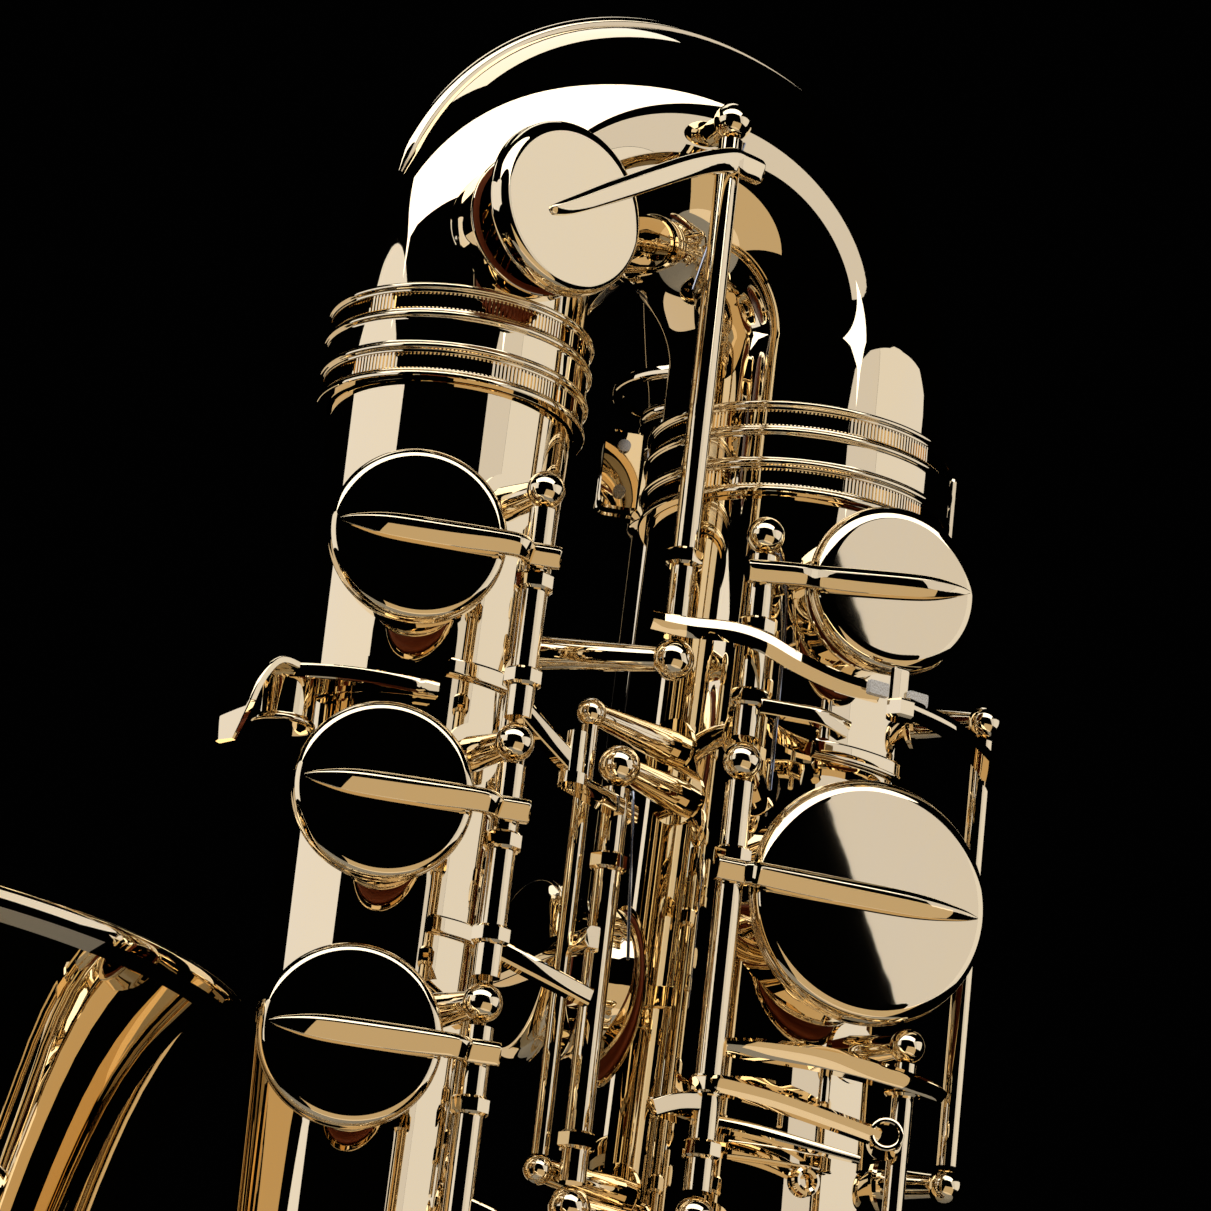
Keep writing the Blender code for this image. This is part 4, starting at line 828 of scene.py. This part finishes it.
shells = merged(hinge_rod(TOP_HINGE, *TOP_SPAN, radius=2.5, collars=(956,), opening=TOP_OPENING),
                cup_shell(bow_centre, FRONT, bow_plane, TOP_CUP), strip(arm_path, arm_sizes, FRONT, RIDGE))
shells = swung(shells, bow_hinge, TOP_OPENING)
reach = [(-8.6, -35.4, 941.0), (-1, -37.4, 940.6), (5, -44.6, 939.4), (9.5, -48.4, 937.6), (16, -50.2, 935.0),
         (25, -51.8, 932.8), (34, -53.2, 932.2)]
LEANING = [(-0.5, 0.12), (-0.5, 0.88), (-0.4, 1.0), (0.2, 1.0), (0.34, 0.92), (0.5, 0.5), (0.4, 0.36), (0.06, 0.0)]
lever = strip([Vector(p) - UP * 1.6 for p in reach], [(3.0, 3.6)] + [(3.0, 4.2)] * 5 + [(3.0, 3.8)], UP, LEANING)
piece("bow_key", merged(shells, lever), LACQUER, "key_bow", "key_bow")
pad = swung(pad_disc(bow_centre, FRONT, bow_plane, TOP_CUP), bow_hinge, TOP_OPENING)
piece("bow_key_pad", pad, PAD, "key_bow", "pad_bow", slot="pad_leather")

# Outer rod: a long hinge tube at the right of the body with a flat lever at its top. The lever ends in
# a hexagonal boss and an upright tab, with white felt glued to both so that the bow key's lever meets it
# without a click.


def white_felt():
    """Pressed wool, matt, with a fibrous surface."""
    finish = Finish("white_felt")
    fibre = finish.noise(2600.0, 5.0)
    return finish.give(base_color=finish.mix(fibre, (0.84, 0.80, 0.74), (0.98, 0.96, 0.92)), roughness=0.95,
                       normal=finish.bump(fibre, 0.8, 0.0004))


FELT = white_felt()


def rounded_block(centre, out, side, length, width, tall, edge=1.2):
    """Block with its long edges filed round; out, side and up give its sides."""
    corners = [(-length / 2, -tall / 2), (length / 2, -tall / 2), (length / 2, tall / 2), (-length / 2, tall / 2)]
    outline = soft(corners, edge, 4, ring=True)
    top = Vector(out).cross(Vector(side)).normalized()
    rows = [(-width / 2, 0.94), (-width / 2 + 0.4, 1.0), (width / 2 - 0.4, 1.0), (width / 2, 0.94)]
    return skinned([[centre + side * at + out * (x * grow) + top * (y * grow) for x, y in outline] for at, grow in rows])


TIP = Vector((37.6, -56.2, 929.4))
outer_lever = [OUTER_HINGE + Vector((3.6, -1.6, 925.6)), OUTER_HINGE + Vector((-5, -8, 927.6)), Vector((52, -51.6, 929)), TIP]
boss = lathe([(2.5, -1.9), (3.1, -1.4), (3.1, 1.4), (2.5, 1.9)], TIP, sides=6)
tab = rounded_block(TIP + Vector((-0.4, 0.6, 4.6)), UP, Vector((1, 0, 0)), 8.4, 3.4, 1.4, 0.4)
outer = merged(hinge_rod(OUTER_HINGE, 935.1, 846.9, radius=2.2), strip(outer_lever, [(5.0, 2.4)] * 4, UP, FLAT), boss, tab)
piece("outer_rod", outer, LACQUER, "key_side_rod", "key_side_rod")
felts = [rounded_block(TIP + Vector(step), Vector((1, 0, 0)), FRONT, 4.6, 1.5, 2.9, 0.5)
         for step in ((-5.4, 0.2, 3.2), (3.4, -0.4, 2.9))]
piece("outer_rod_felts", merged(*felts), FELT, "key_side_rod", slot="pad_leather")

# Levers and stops: filed brass bars brazed to collars on the hinge tubes, each reaching to the next key,
# and half-round saddles soldered round the tubes beneath them, where their stops and springs bear.
RIBBED = [(-0.5, 0.0), (-0.5, 0.55), (-0.3, 0.88), (0.0, 1.0), (0.24, 1.0), (0.5, 0.74), (0.46, 0.56), (0.16, 0.0)]


def saddle(axis_at, skin_r, z, start, stop, tall=3.4, thick=1.6, steps=20):
    """Band round part of a tube, from one angle to another."""
    rings = []
    for i in range(steps + 1):
        way = spoke(start + (stop - start) * i / steps)
        at = Vector((axis_at.x, axis_at.y, z))
        outline = soft([(skin_r, -tall / 2), (skin_r + thick, -tall / 2), (skin_r + thick, tall / 2), (skin_r, tall / 2)],
                       0.4, 2, ring=True)
        rings.append([at + way * r + UP * h for r, h in outline])
    return skinned(rings)


def pin(at, low, high, radius=1.0):
    """Short turned pin with rounded ends."""
    return lathe(soft([(radius, low), (radius, high)], 0.3, 2), Vector((at.x, at.y, 0)), sides=24)


bands = [saddle(RIGHT, body_r(926) + 0.1, 926.0, -104, -58), saddle(RIGHT, body_r(842) + 0.1, 842.5, -120, -84),
         saddle(LEFT, left_r(925) + 0.1, 925.0, -100, -64), saddle(LEFT, left_r(874) + 0.1, 874.4, -92, -52),
         lathe([(2.2 + 0.9 * math.cos(a), 0.9 * math.sin(a)) for a in (math.pi * i / 4 for i in range(8))],
               RIGHT + spoke(-93) * (body_r(838) + 1.0) + UP * 838.5, spoke(-93), 24, ring=True),
         rounded_block(RIGHT + spoke(-16) * (body_r(994) + 3.4) + UP * 993.5, UP, spoke(-16), 15.0, 2.0, 2.4, 1.0)]
bands += [hinge_rod(TRILL_HINGE, 862.4, 823.4, radius=2.1, collars=(857.5,), opening=6),
          hinge_rod(BACK_HINGE, 921.8, 835.6, radius=1.7)]
trill_arm = [(13.6, -40.4, 857.9), (14.8, -40.9, 857.9), (22, -45.2, 857.6), (34, -49.4, 857.2), (47, -50.2, 856.6),
             (56, -50.0, 855.9), (58.6, -49.6, 855.7)]
bands.append(strip(trill_arm, [(3.6, 2.4), (4.2, 3.0), (5.2, 3.8), (5.8, 4.2), (5.2, 3.8), (4.8, 3.2), (4.2, 2.4)], UP, RIBBED))
bands.append(pin(Vector((34.5, -46.4, 0)), 851.6, 858.0, 1.1))
piece("levers_and_saddles", merged(*bands), LACQUER, "instrument")

stack_levers = [strip([(12, -43.6, 849.4), (13.5, -44.4, 849.4), (24, -46.8, 848.2), (38, -49.4, 846.0), (44.5, -50.4, 844.9)],
                      [(3.2, 3.0), (4.0, 3.4), (4.4, 3.4), (4.2, 3.2), (4.0, 3.0)], UP, RIBBED),
                lathe(soft([(2.3, -3.4), (3.4, -3.4), (3.4, 3.0), (2.3, 3.0)], 0.4, ring=True),
                      Vector((46.8, -50.2, 846.4)), spoke(-118) + UP * 0.15, 36, ring=True),
                lathe(soft([(2.5, -2.0), (2.5, 2.0)], 0.3), Vector((46.8, -50.2, 846.4)), spoke(-118) + UP * 0.15, 36),
                strip([(2.6, -38.4, 844.6), (4.2, -37.6, 844.6), (12, -36.0, 844.2), (24, -41.0, 843.2), (43, -47.4, 841.2)],
                      [(3.0, 2.6), (4.2, 3.0), (5.4, 2.4), (5.0, 2.2), (2.0, 1.4)], UP, FLAT)]
stack_levers.append(hinge_rod(Vector((12.0, -41.0, 0)), 852.8, 849.0, radius=3.4, collars=(850.9,), opening=-11))
piece("stack_levers", merged(*stack_levers), LACQUER, "key_stack_2")

rest_arm = [(13.2, -43.4, 925.4), (14.5, -43.8, 925.4), (20, -46.0, 925.2), (25, -47.2, 925.0), (30.4, -47.0, 923.6)]
piece("stack_rest_arm", merged(strip(rest_arm, [(2.4, 3.2), (2.4, 3.2), (2.4, 3.2), (2.6, 3.4), (3.4, 3.8)], UP, FLAT),
                               pin(Vector((26.2, -47.2, 0)), 922.6, 930.4, 1.1)), LACQUER, "key_stack_1")
piece("palm_adjusting_pin", merged(pin(Vector((-23.6, -39.2, 0)), 903.4, 913.6, 2.0),
                                   pin(Vector((-23.6, -39.2, 0)), 903.0, 905.2, 2.8)), LACQUER, "key_palm_1")

# Bell and bottom bow: the bell is spun from sheet to a wide flare with its rim rolled over a wire.
# The bow turns the body's foot back up into it and carries the floor peg's socket.
BELL_RIM_R, BELL_RIM_Z = 117.0, 861.0
BOTTOM_BOW_Z = 172.0
flare = [Vector((r, z)) for r, z in BELL_OUTLINE]
outer_line = [tuple(v) for v in flowing(flare, 5)]
rolled = [(BELL_RIM_R - 0.2, BELL_RIM_Z - 4.3), (BELL_RIM_R + 0.5, BELL_RIM_Z - 2.6), (BELL_RIM_R + 0.4, BELL_RIM_Z - 0.9),
          (BELL_RIM_R - 0.8, BELL_RIM_Z - 0.05), (BELL_RIM_R - 2.3, BELL_RIM_Z - 0.6), (BELL_RIM_R - 3.2, BELL_RIM_Z - 2.4)]
inner_line = [(r - WALL, z) for r, z in reversed(outer_line)]
bell_wall = lathe(outer_line + soft(rolled, 0.8, 3, ring=False) + inner_line, BELL_AT, sides=160, ring=True)
bell_holes = [(*tone_hole(key), KEYS[key][2]) for key in KEYS if KEYS[key][0] == "bell"]
bell_wall = carved(bell_wall, merged(*[drill(c, n, r, cup) for c, r, n, cup in bell_holes]))
piece("bell_flare", bell_wall, LACQUER, "instrument", "bell")
piece("bell_tone_holes", merged(*[chimney(c, n, r, cup) for c, r, n, cup in bell_holes]), LACQUER, "instrument")

low = Vector((RIGHT.x, RIGHT.y, BOTTOM_BOW_Z))
end = Vector((BELL_AT.x, BELL_AT.y, BOTTOM_BOW_Z))
middle = (low + end) / 2
turn_axis = (end - low).normalized().cross(UP)
bottom_path = [low + UP * (BODY_LOW_Z - 0.1 - BOTTOM_BOW_Z)]
bottom_path += [middle + Matrix.Rotation(math.radians(180 * i / 60), 3, turn_axis) @ (low - middle) for i in range(61)]
bottom_path.append(end + UP * (BELL_OUTLINE[0][1] - 0.1 - BOTTOM_BOW_Z))
share = [i / (len(bottom_path) - 1) for i in range(len(bottom_path))]
bottom_radii = [BODY_LOW_R + (BELL_OUTLINE[0][0] - BODY_LOW_R) * t for t in share]
bottom = bent_tube(bottom_path, bottom_radii, WALL, 112, start_up=turn_axis)
socket = lathe(soft([(4.2, 6), (4.2, 0.2), (9, 0), (9, 9), (7.5, 11), (4.2, 11)], 0.6, ring=True), SOCKET, sides=64, ring=True)
piece("bottom_bow_tube", merged(bottom, socket), LACQUER, "instrument", "bottom_bow")

# Guards over the bell keys: a ring on three bent feet, screwed to the bell's wall.
for node, key in (("guard_low_b", "low_b"), ("guard_low_bflat", "low_bflat")):
    centre, skin_r, normal = tone_hole(key)
    cup, lift = KEYS[key][2], skin_r + RISE + 21.5
    ring = [(cup * 0.50, lift), (cup * 0.66, lift), (cup * 0.66, lift + 2), (cup * 0.50, lift + 2)]
    shells = [lathe(soft(ring, 0.6, ring=True), centre, normal, 64, ring=True)]
    sideways = normal.cross(UP)
    for degrees in (90, 210, 330):
        a = math.radians(degrees)
        out = UP * math.sin(a) + sideways * math.cos(a)
        reach = cup + 8
        foot_z = centre.z + out.z * reach
        side = sideways * (math.cos(a) * reach)
        down = math.sqrt((bell_r(foot_z) + 0.5) ** 2 - side.length ** 2)
        foot = centre + side + UP * (foot_z - centre.z) + normal * down
        knee = centre + out * (reach - 1) + normal * (lift - 3)
        inner = centre + out * (cup * 0.58) + normal * (lift + 0.2)
        leg = [inner, inner.lerp(knee, 0.7) + normal * 1.4, knee, foot + normal * 0.4]
        shells.append(strip(leg, [(6, 1.6), (6, 1.7), (6, 1.8), (8, 1.8)], normal + out * 0.6, FLAT))
    piece(f"{node}_ring", merged(*shells), LACQUER, "instrument", node)

# Down tube and lower crook: a slim brass tube falls from the neck behind the legs, swings over and
# turns up into the climbing leg. Two clamp lugs at its top close on the neck's tenon by blued screws.
DOWN_AT, DOWN_TOP_Z, DOWN_R, DOWN_GROWS = Vector((47, 57, 0)), 1022.0, 13.0, 2.6
CROOK_AT = Vector((0, 64, 0))
LUG_ANGLE = 158.0


def steel():
    """Blued steel, rubbed bright along its fine turning marks."""
    finish = Finish("blued_steel")
    marks = finish.noise(900.0, 2.0, finish.place(1.0, 1.0, 0.08))
    return finish.give(base_color=finish.mix(marks, (0.24, 0.27, 0.38), (0.46, 0.48, 0.54)), metallic=1.0,
                       roughness=marks * 0.12 + 0.10)


STEEL = steel()
SPRINGS = (((1.4, -33.6, 1048.5), (0.2, -33.0, 1042.2), (-2.4, -31.4, 1028), (-4.8, -30.0, 1014.8)),
           ((17.6, -36.4, 963.4), (20.2, -37.4, 952.3), (21.0, -37.0, 932), (21.7, -36.0, 913.3)),
           ((-4.4, -27.2, 908.0), (-4.2, -28.0, 906.7), (-2.9, -28.2, 890), (-1.4, -28.0, 875.0)))
springs = [bent_tube(flowing([Vector(p) for p in run], 5), [0.34] * (5 * (len(run) - 1) + 1), sides=10,
                     start_up=(1, 0, 0)) for run in SPRINGS]
piece("needle_springs", merged(*springs), STEEL, "instrument", slot="blued_steel")
down_path = [DOWN_AT + UP * z for z in (DOWN_TOP_Z, 990, 900, 850, 810, 790)]
for i in range(1, 13):
    t = i / 13
    down_path.append(DOWN_AT.lerp(CROOK_AT, t * t * (3 - 2 * t)) + UP * (790 - 195 * t))
down_path += [CROOK_AT + UP * z for z in (595, 580, LEFT_LOW_Z + 0.1)]
drop = down_path[0].z - down_path[-1].z
down_radii = [DOWN_R + DOWN_GROWS * (down_path[0].z - p.z) / drop for p in down_path]
down_tube = bent_tube(down_path, down_radii, WALL, 72)
z = DOWN_TOP_Z
collar = soft([(DOWN_R - 0.6, z - 27), (DOWN_R + 1.4, z - 25.5), (DOWN_R + 1.4, z - 1), (DOWN_R + 0.8, z - 0.1),
               (DOWN_R - 0.6, z - 0.1)], 0.5, ring=True)
lug_out, lug_side = spoke(LUG_ANGLE), spoke(LUG_ANGLE + 90)
SLIT = 0.6


lugs = [rounded_block(DOWN_AT + UP * (z - 13) + lug_out * (DOWN_R + 4.2) + lug_side * (way * (SLIT + 2.05)),
                      lug_out, lug_side, 10.0, 4.1, 19.0, 2.6) for way in (-1, 1)]
piece("down_tube_wall", down_tube, LACQUER, "instrument", "down_tube")
piece("receiver", merged(lathe(collar, DOWN_AT, sides=72, ring=True), *lugs), LACQUER, "instrument")
for i, screw_z in enumerate((z - 7.5, z - 18.5)):
    at = DOWN_AT + lug_out * (DOWN_R + 4.6) + UP * screw_z
    head = [(1.45, -5.6), (1.45, 4.95), (2.6, 4.95), (2.6, 6.2), (2.2, 6.7), (1.2, 6.85)]
    screw = lathe(soft(head, 0.3), at, -lug_side, 32)
    slot = rounded_block(at - lug_side * 6.9, UP, lug_side, 6.0, 1.4, 0.6, 0.05)
    piece(f"receiver_screw_{i + 1}_turned", carved(screw, slot), STEEL, "instrument", f"receiver_screw_{i + 1}")

crook_low, crook_end = LEFT + UP * (LEFT_LOW_Z - 5.2), CROOK_AT + UP * (LEFT_LOW_Z - 5.2)
crook_middle = (crook_low + crook_end) / 2
crook_axis = (crook_end - crook_low).normalized().cross(UP)
crook_path = [LEFT + UP * (LEFT_LOW_Z - 0.2)]
crook_path += [crook_middle + Matrix.Rotation(math.radians(180 * i / 32), 3, crook_axis) @ (crook_low - crook_middle)
               for i in range(33)] + [CROOK_AT + UP * (LEFT_LOW_Z - 0.2)]
crook_radii = [LEFT_LOW_R - 1.3 * i / 34 for i in range(35)]
piece("lower_crook_tube", bent_tube(crook_path, crook_radii, WALL, 72, start_up=crook_axis), LACQUER, "instrument",
      "lower_crook")
for name, at, r in (("crook_ring_leg", LEFT, LEFT_LOW_R + 0.3), ("crook_ring_down", CROOK_AT, 16.0)):
    ring = [(r + 0.1, 0), (r + 1.6, 0), (r + 2.0, 2.0), (r + 1.6, 4.0), (r + 1.6, 8.0), (r + 0.1, 8.0)]
    piece(f"{name}_turned", lathe(soft(ring, 0.5, ring=True), at + UP * (LEFT_LOW_Z - 4), sides=80, ring=True), LACQUER,
          "instrument", name)

# Neck: a tapered brass tube bent up and over, with a turned collar that seats in the receiver and a
# cork sleeve for the mouthpiece. The octave key rocks on two ears and is worked by a ring at its foot.
NECK_ANGLE = 82.0
NECK_DIR, NECK_ACROSS = spoke(NECK_ANGLE), spoke(NECK_ANGLE - 90)
NECK_RISE = ((0, -24), (0, 1), (3, 10), (8.5, 20), (14, 32), (20, 45), (30, 57), (45, 65), (66, 69), (95, 68),
             (125, 62), (155, 50), (182, 33), (204, 14), (219, -3))
NECK_R, NECK_END_R, TENON_R = 12.4, 8.7, 10.7
OCTAVE_AT, PIP_AT, OCTAVE_HINGE_UP = (75, DOWN_TOP_Z + 68.7), (98, DOWN_TOP_Z + 67.7), 14.2


def neck_point(along, height):
    return DOWN_AT + NECK_DIR * along + UP * height


neck_line = flowing([neck_point(along, DOWN_TOP_Z + up) for along, up in NECK_RISE[1:]], 5)
neck_radii = [NECK_R + (NECK_END_R - NECK_R) * i / (len(neck_line) - 1) for i in range(len(neck_line))]
neck_radii[0] = TENON_R
tenon = [neck_point(0, DOWN_TOP_Z - 24), neck_point(0, DOWN_TOP_Z - 4)]
neck_wall = bent_tube(tenon + neck_line, [TENON_R] * 2 + neck_radii, 1.3, 64, start_up=NECK_ACROSS)
seat = soft([(10.5, 0.3), (14.0, 0.3), (14.4, 1.5), (14.0, 2.7), (12.6, 3.2), (12.6, 5.0), (10.5, 5.0)], 0.5, ring=True)
fittings = [lathe(soft([(2.4, 11.0), (2.4, 13), (2.6, 14.2), (2.3, 15.8), (1.2, 16.5)], 0.4), neck_point(*OCTAVE_AT)
                  + NECK_ACROSS * side, UP, 28) for side in (-7, 7)]
fittings.append(lathe(soft([(1.6, 9.5), (4.4, 9.5), (3.4, 11.5), (3.4, 14.0), (1.6, 14.0)], 0.4, ring=True),
                      neck_point(*PIP_AT), UP, 32, ring=True))
seat_ring = lathe(seat, DOWN_AT + UP * DOWN_TOP_Z, sides=72, ring=True)
piece("neck_tube", merged(neck_wall, seat_ring, *fittings), LACQUER, "neck", "neck")

octave_hinge = neck_point(*OCTAVE_AT) + UP * OCTAVE_HINGE_UP
over_pip = neck_point(*PIP_AT) + UP * 16.4
swing = [(50, 83), (34, 77.5), (20, 68.5), (8, 55), (0.5, 38), (-6, 26), (-12, 15), (-19.5, 7.5)]
swing = [octave_hinge + NECK_DIR * 1.5] + [neck_point(along, DOWN_TOP_Z + up) for along, up in swing]
octave = [lathe(soft([(1.6, -4.2), (2.5, -3.9), (2.5, -2.4), (2.1, -2.2), (2.1, 2.2), (2.5, 2.4), (2.5, 3.9),
                      (1.6, 4.2)], 0.2), octave_hinge, NECK_ACROSS, 32),
          lathe(soft([(4.4, 14.3), (4.7, 14.6), (5.0, 16.8), (4.2, 17.4), (2.0, 17.6)], 0.5), neck_point(*PIP_AT), UP, 40),
          strip([octave_hinge - NECK_DIR * 1.5, octave_hinge.lerp(over_pip, 0.5) + UP, over_pip],
                [(4, 2)] * 3, UP, FLAT),
          strip(swing, [(4.2, 1.8)] * 8 + [(3.4, 1.8)], -NECK_DIR + UP, FLAT),
          lathe(soft([(18.5, 6.2), (21.2, 6.2), (21.2, 8.6), (18.5, 8.6)], 0.7, ring=True), DOWN_AT + UP * DOWN_TOP_Z,
                UP, 80, ring=True)]
piece("octave_key_ring", merged(*octave), LACQUER, "octave_key", "octave_key")

# Mouthpiece: black hard rubber turned and faced, on the neck's cork, with a cane reed held to its
# flat by a brass ligature with two screws underneath.


def grained(name, dark, light, gloss, scale, stretch, bump, depth=0.0003):
    """Natural stuff with streaks along its length."""
    finish = Finish(name)
    streak = finish.noise(scale, 4.0, finish.place(*stretch))
    return finish.give(base_color=finish.mix(streak, dark, light), roughness=streak * 0.2 + gloss,
                       normal=finish.bump(streak, bump, depth))


EBONITE = grained("ebonite", (0.010, 0.009, 0.010), (0.024, 0.022, 0.022), 0.12, 500.0, (1, 1, 1), 0.03)
CANE = grained("cane", (0.55, 0.36, 0.14), (0.82, 0.64, 0.34), 0.42, 900.0, (1, 0.08, 1), 0.15)
CORK = grained("cork", (0.30, 0.17, 0.08), (0.66, 0.48, 0.29), 0.65, 420.0, (1, 1, 1), 0.6)
mouth_end = neck_point(219, DOWN_TOP_Z - 3)
mouth_axis = (mouth_end - neck_point(204, DOWN_TOP_Z + 14)).normalized()
mouth_up = mouth_axis.cross(UP).cross(mouth_axis).normalized()
cork = [(NECK_END_R + 0.7, -24), (NECK_END_R + 1.7, -24), (NECK_END_R + 1.7, -2), (NECK_END_R + 0.7, -2)]
piece("cork_sleeve", lathe(soft(cork, 0.3, ring=True), mouth_end, mouth_axis, 56, ring=True), CORK, "neck", "neck_cork",
      slot="cork")
r = NECK_END_R + 2.1
shape = [(r, -20), (14.5, -20), (15.2, -18.5), (15.2, -13.5), (14.8, -12), (15.0, 25), (13.0, 62), (9.5, 84),
         (r - 4, 84), (r - 2, 10), (r, 4)]
beak_cut = strip([mouth_end + mouth_axis * 34 + mouth_up * 13.6, mouth_end + mouth_axis * 62 + mouth_up * 7.4,
                  mouth_end + mouth_axis * 90 + mouth_up * 0.5], [(60, 40)] * 3, mouth_up, FLAT, 2)
table_cut = strip([mouth_end + mouth_axis * 14 - mouth_up * 9.5, mouth_end + mouth_axis * 95 - mouth_up * 6.0],
                  [(60, 40)] * 2, -mouth_up, FLAT, 2)
window = strip([mouth_end + mouth_axis * 44, mouth_end + mouth_axis * 66], [(11, 20)] * 2, -mouth_up, FLAT, 2)
mouthpiece = lathe(soft(shape, 0.6, ring=True), mouth_end, mouth_axis, 80, ring=True)
for cutter in (beak_cut, table_cut, window):
    mouthpiece = carved(mouthpiece, cutter)
piece("mouthpiece_body", mouthpiece, EBONITE, "neck", "mouthpiece", slot="ebonite")
reed_path = [mouth_end + mouth_axis * along - mouth_up * down for along, down in ((15, 9.9), (45, 8.6), (70, 7.6), (83, 6.95))]
piece("reed_blade", strip(reed_path, [(16, 2.6), (16.5, 2.4), (16.5, 1.0), (16.5, 0.4)], -mouth_up, FLAT), CANE, "neck", "reed",
      slot="cane")
band = [(15.5, 18), (16.4, 17.8), (17.0, 18.6), (16.4, 19.6), (16.4, 34.4), (17.0, 35.4), (16.4, 36.2), (15.5, 36)]
clamps = [lathe(soft([(1.4, -6), (1.4, 4), (2.8, 4), (2.8, 6.4), (1.6, 6.8)], 0.3), mouth_end + mouth_axis * (27 + way * 5)
                - mouth_up * 17.0, mouth_axis.cross(mouth_up), 28) for way in (-1, 1)]
piece("ligature_band", merged(lathe(soft(band, 0.3, ring=True), mouth_end, mouth_axis, 72, ring=True), *clamps), LACQUER,
      "neck", "ligature")

# Thumb hook: a curved plate cast with its boss and soldered to a slotted foot on the climbing leg;
# the player's right thumb carries the weight under its tongue.
HOOK_Z = 918.0
hook_at, hook_r = LEFT + UP * HOOK_Z, left_r(HOOK_Z) + 0.4
hook_rings = []
for i in range(33):
    t = i / 32
    angle, wide = -104 - 68 * t, 2.2 + 13.0 * t ** 1.3
    near, far = hook_at + spoke(angle) * hook_r, hook_at + spoke(angle) * (hook_r + wide)
    edge = soft([(0, 0), (wide, 0), (wide, 3.0), (0, 3.0)], 0.7, 3, ring=True)
    hook_rings.append([near + (far - near).normalized() * x + UP * y for x, y in edge])
hook_out = spoke(-165)
boss = lathe(soft([(5.2, -8.5), (6.3, -8.4), (6.3, -7.5), (5.7, -7.2), (5.7, 0.6)], 0.3), hook_at + hook_out * (hook_r + 7.5),
             UP, 48)
tip = hook_at + hook_out * (hook_r + 13.0)
tongue = [tip + UP * 1.6 - hook_out * 3, tip + UP * 1.4 + hook_out * 1.5, tip + hook_out * 4.5 - UP * 3,
          tip + hook_out * 6.0 - UP * 9, tip + hook_out * 7.0 - UP * 15]
foot_rings = []
for i in range(25):
    t = i / 24
    half = 4.3 * math.sqrt(max(1 - max(0.0, 1 - t * 8) ** 2, 0.02)) if t < 0.125 else 4.3
    inside, outside = hook_r - 0.5, hook_r + 0.45
    foot_rings.append([LEFT + spoke(-101 - 52 * t) * rr + UP * (921 + h) for rr, h in
                       ((inside, -half), (outside, -half), (outside, half), (inside, half))])
hook = merged(skinned(hook_rings), boss, skinned(foot_rings),
              strip(tongue, [(13, 2.2), (13, 2.2), (12, 2.2), (10, 2.0), (5, 1.4)], hook_out + UP * 0.9, RIDGE))
piece("thumb_hook_plate", hook, LACQUER, "instrument", "thumb_hook")

# Strap ring and bell brace: a brass eye on a round foot behind the body takes the player's strap,
# and a turned stay with an open ring in its middle holds the bell off the body.
strap_out = spoke(80)
strap_at = RIGHT + strap_out * (body_r(700) + 0.25) + UP * 700
eye = [(8.6 + 2.0 * math.cos(a), 2.0 * math.sin(a)) for a in (2 * math.pi * i / 16 for i in range(16))]
foot = soft([(6.4, 0.4), (7.2, 0.9), (7.0, 1.8), (3.6, 3.0), (3.0, 5.0), (3.0, 8.4)], 0.5)
piece("strap_eye", merged(lathe(foot, strap_at, strap_out, 48),
                          lathe(eye, strap_at + strap_out * 15.6, spoke(-10), 56, ring=True)), LACQUER, "instrument", "strap_ring")
stay = Vector((BELL_AT.x - RIGHT.x, BELL_AT.y - RIGHT.y, 0))
stay_out = stay.normalized()
stay_from = RIGHT + stay_out * (body_r(640) + 0.4) + UP * 640
length = stay.length - body_r(640) - 78.9 - 0.8
middle, cross = length * 0.52, stay_out.cross(UP)
halves = [lathe(soft([(7.8, a), (8.2, a + step * 0.5), (8.0, a + step * 1.2), (3.4, a + step * 3.2), (3.0, a + step * 6),
                      (2.6, b)], 0.6), stay_from, stay_out, 48)
          for a, b, step in ((0, middle - 13.6, 1), (length, middle + 13.6, -1))]
hoop = soft([(13.0, -3), (16.0, -3), (16.0, 3), (13.0, 3)], 1.2, ring=True)
piece("bell_stay", merged(*halves, lathe(hoop, stay_from + stay_out * middle, cross, 72, ring=True)), LACQUER, "instrument",
      "bell_brace")

# Nodes that no piece stands for keep their shape and take their slot's finish.
LOOKS = {"gold_lacquer": LACQUER, "pad_leather": PAD, "blued_steel": STEEL, "ebonite": EBONITE,
         "cane": CANE, "cork": CORK, "pearl": PEARL}
slot_of = {row["node"]: row["material_slot"] for row in frame["record"]["subparts"]}
for name, node in frame["nodes"].items():
    node.data.materials.clear()
    node.data.materials.append(LOOKS[slot_of[name]])
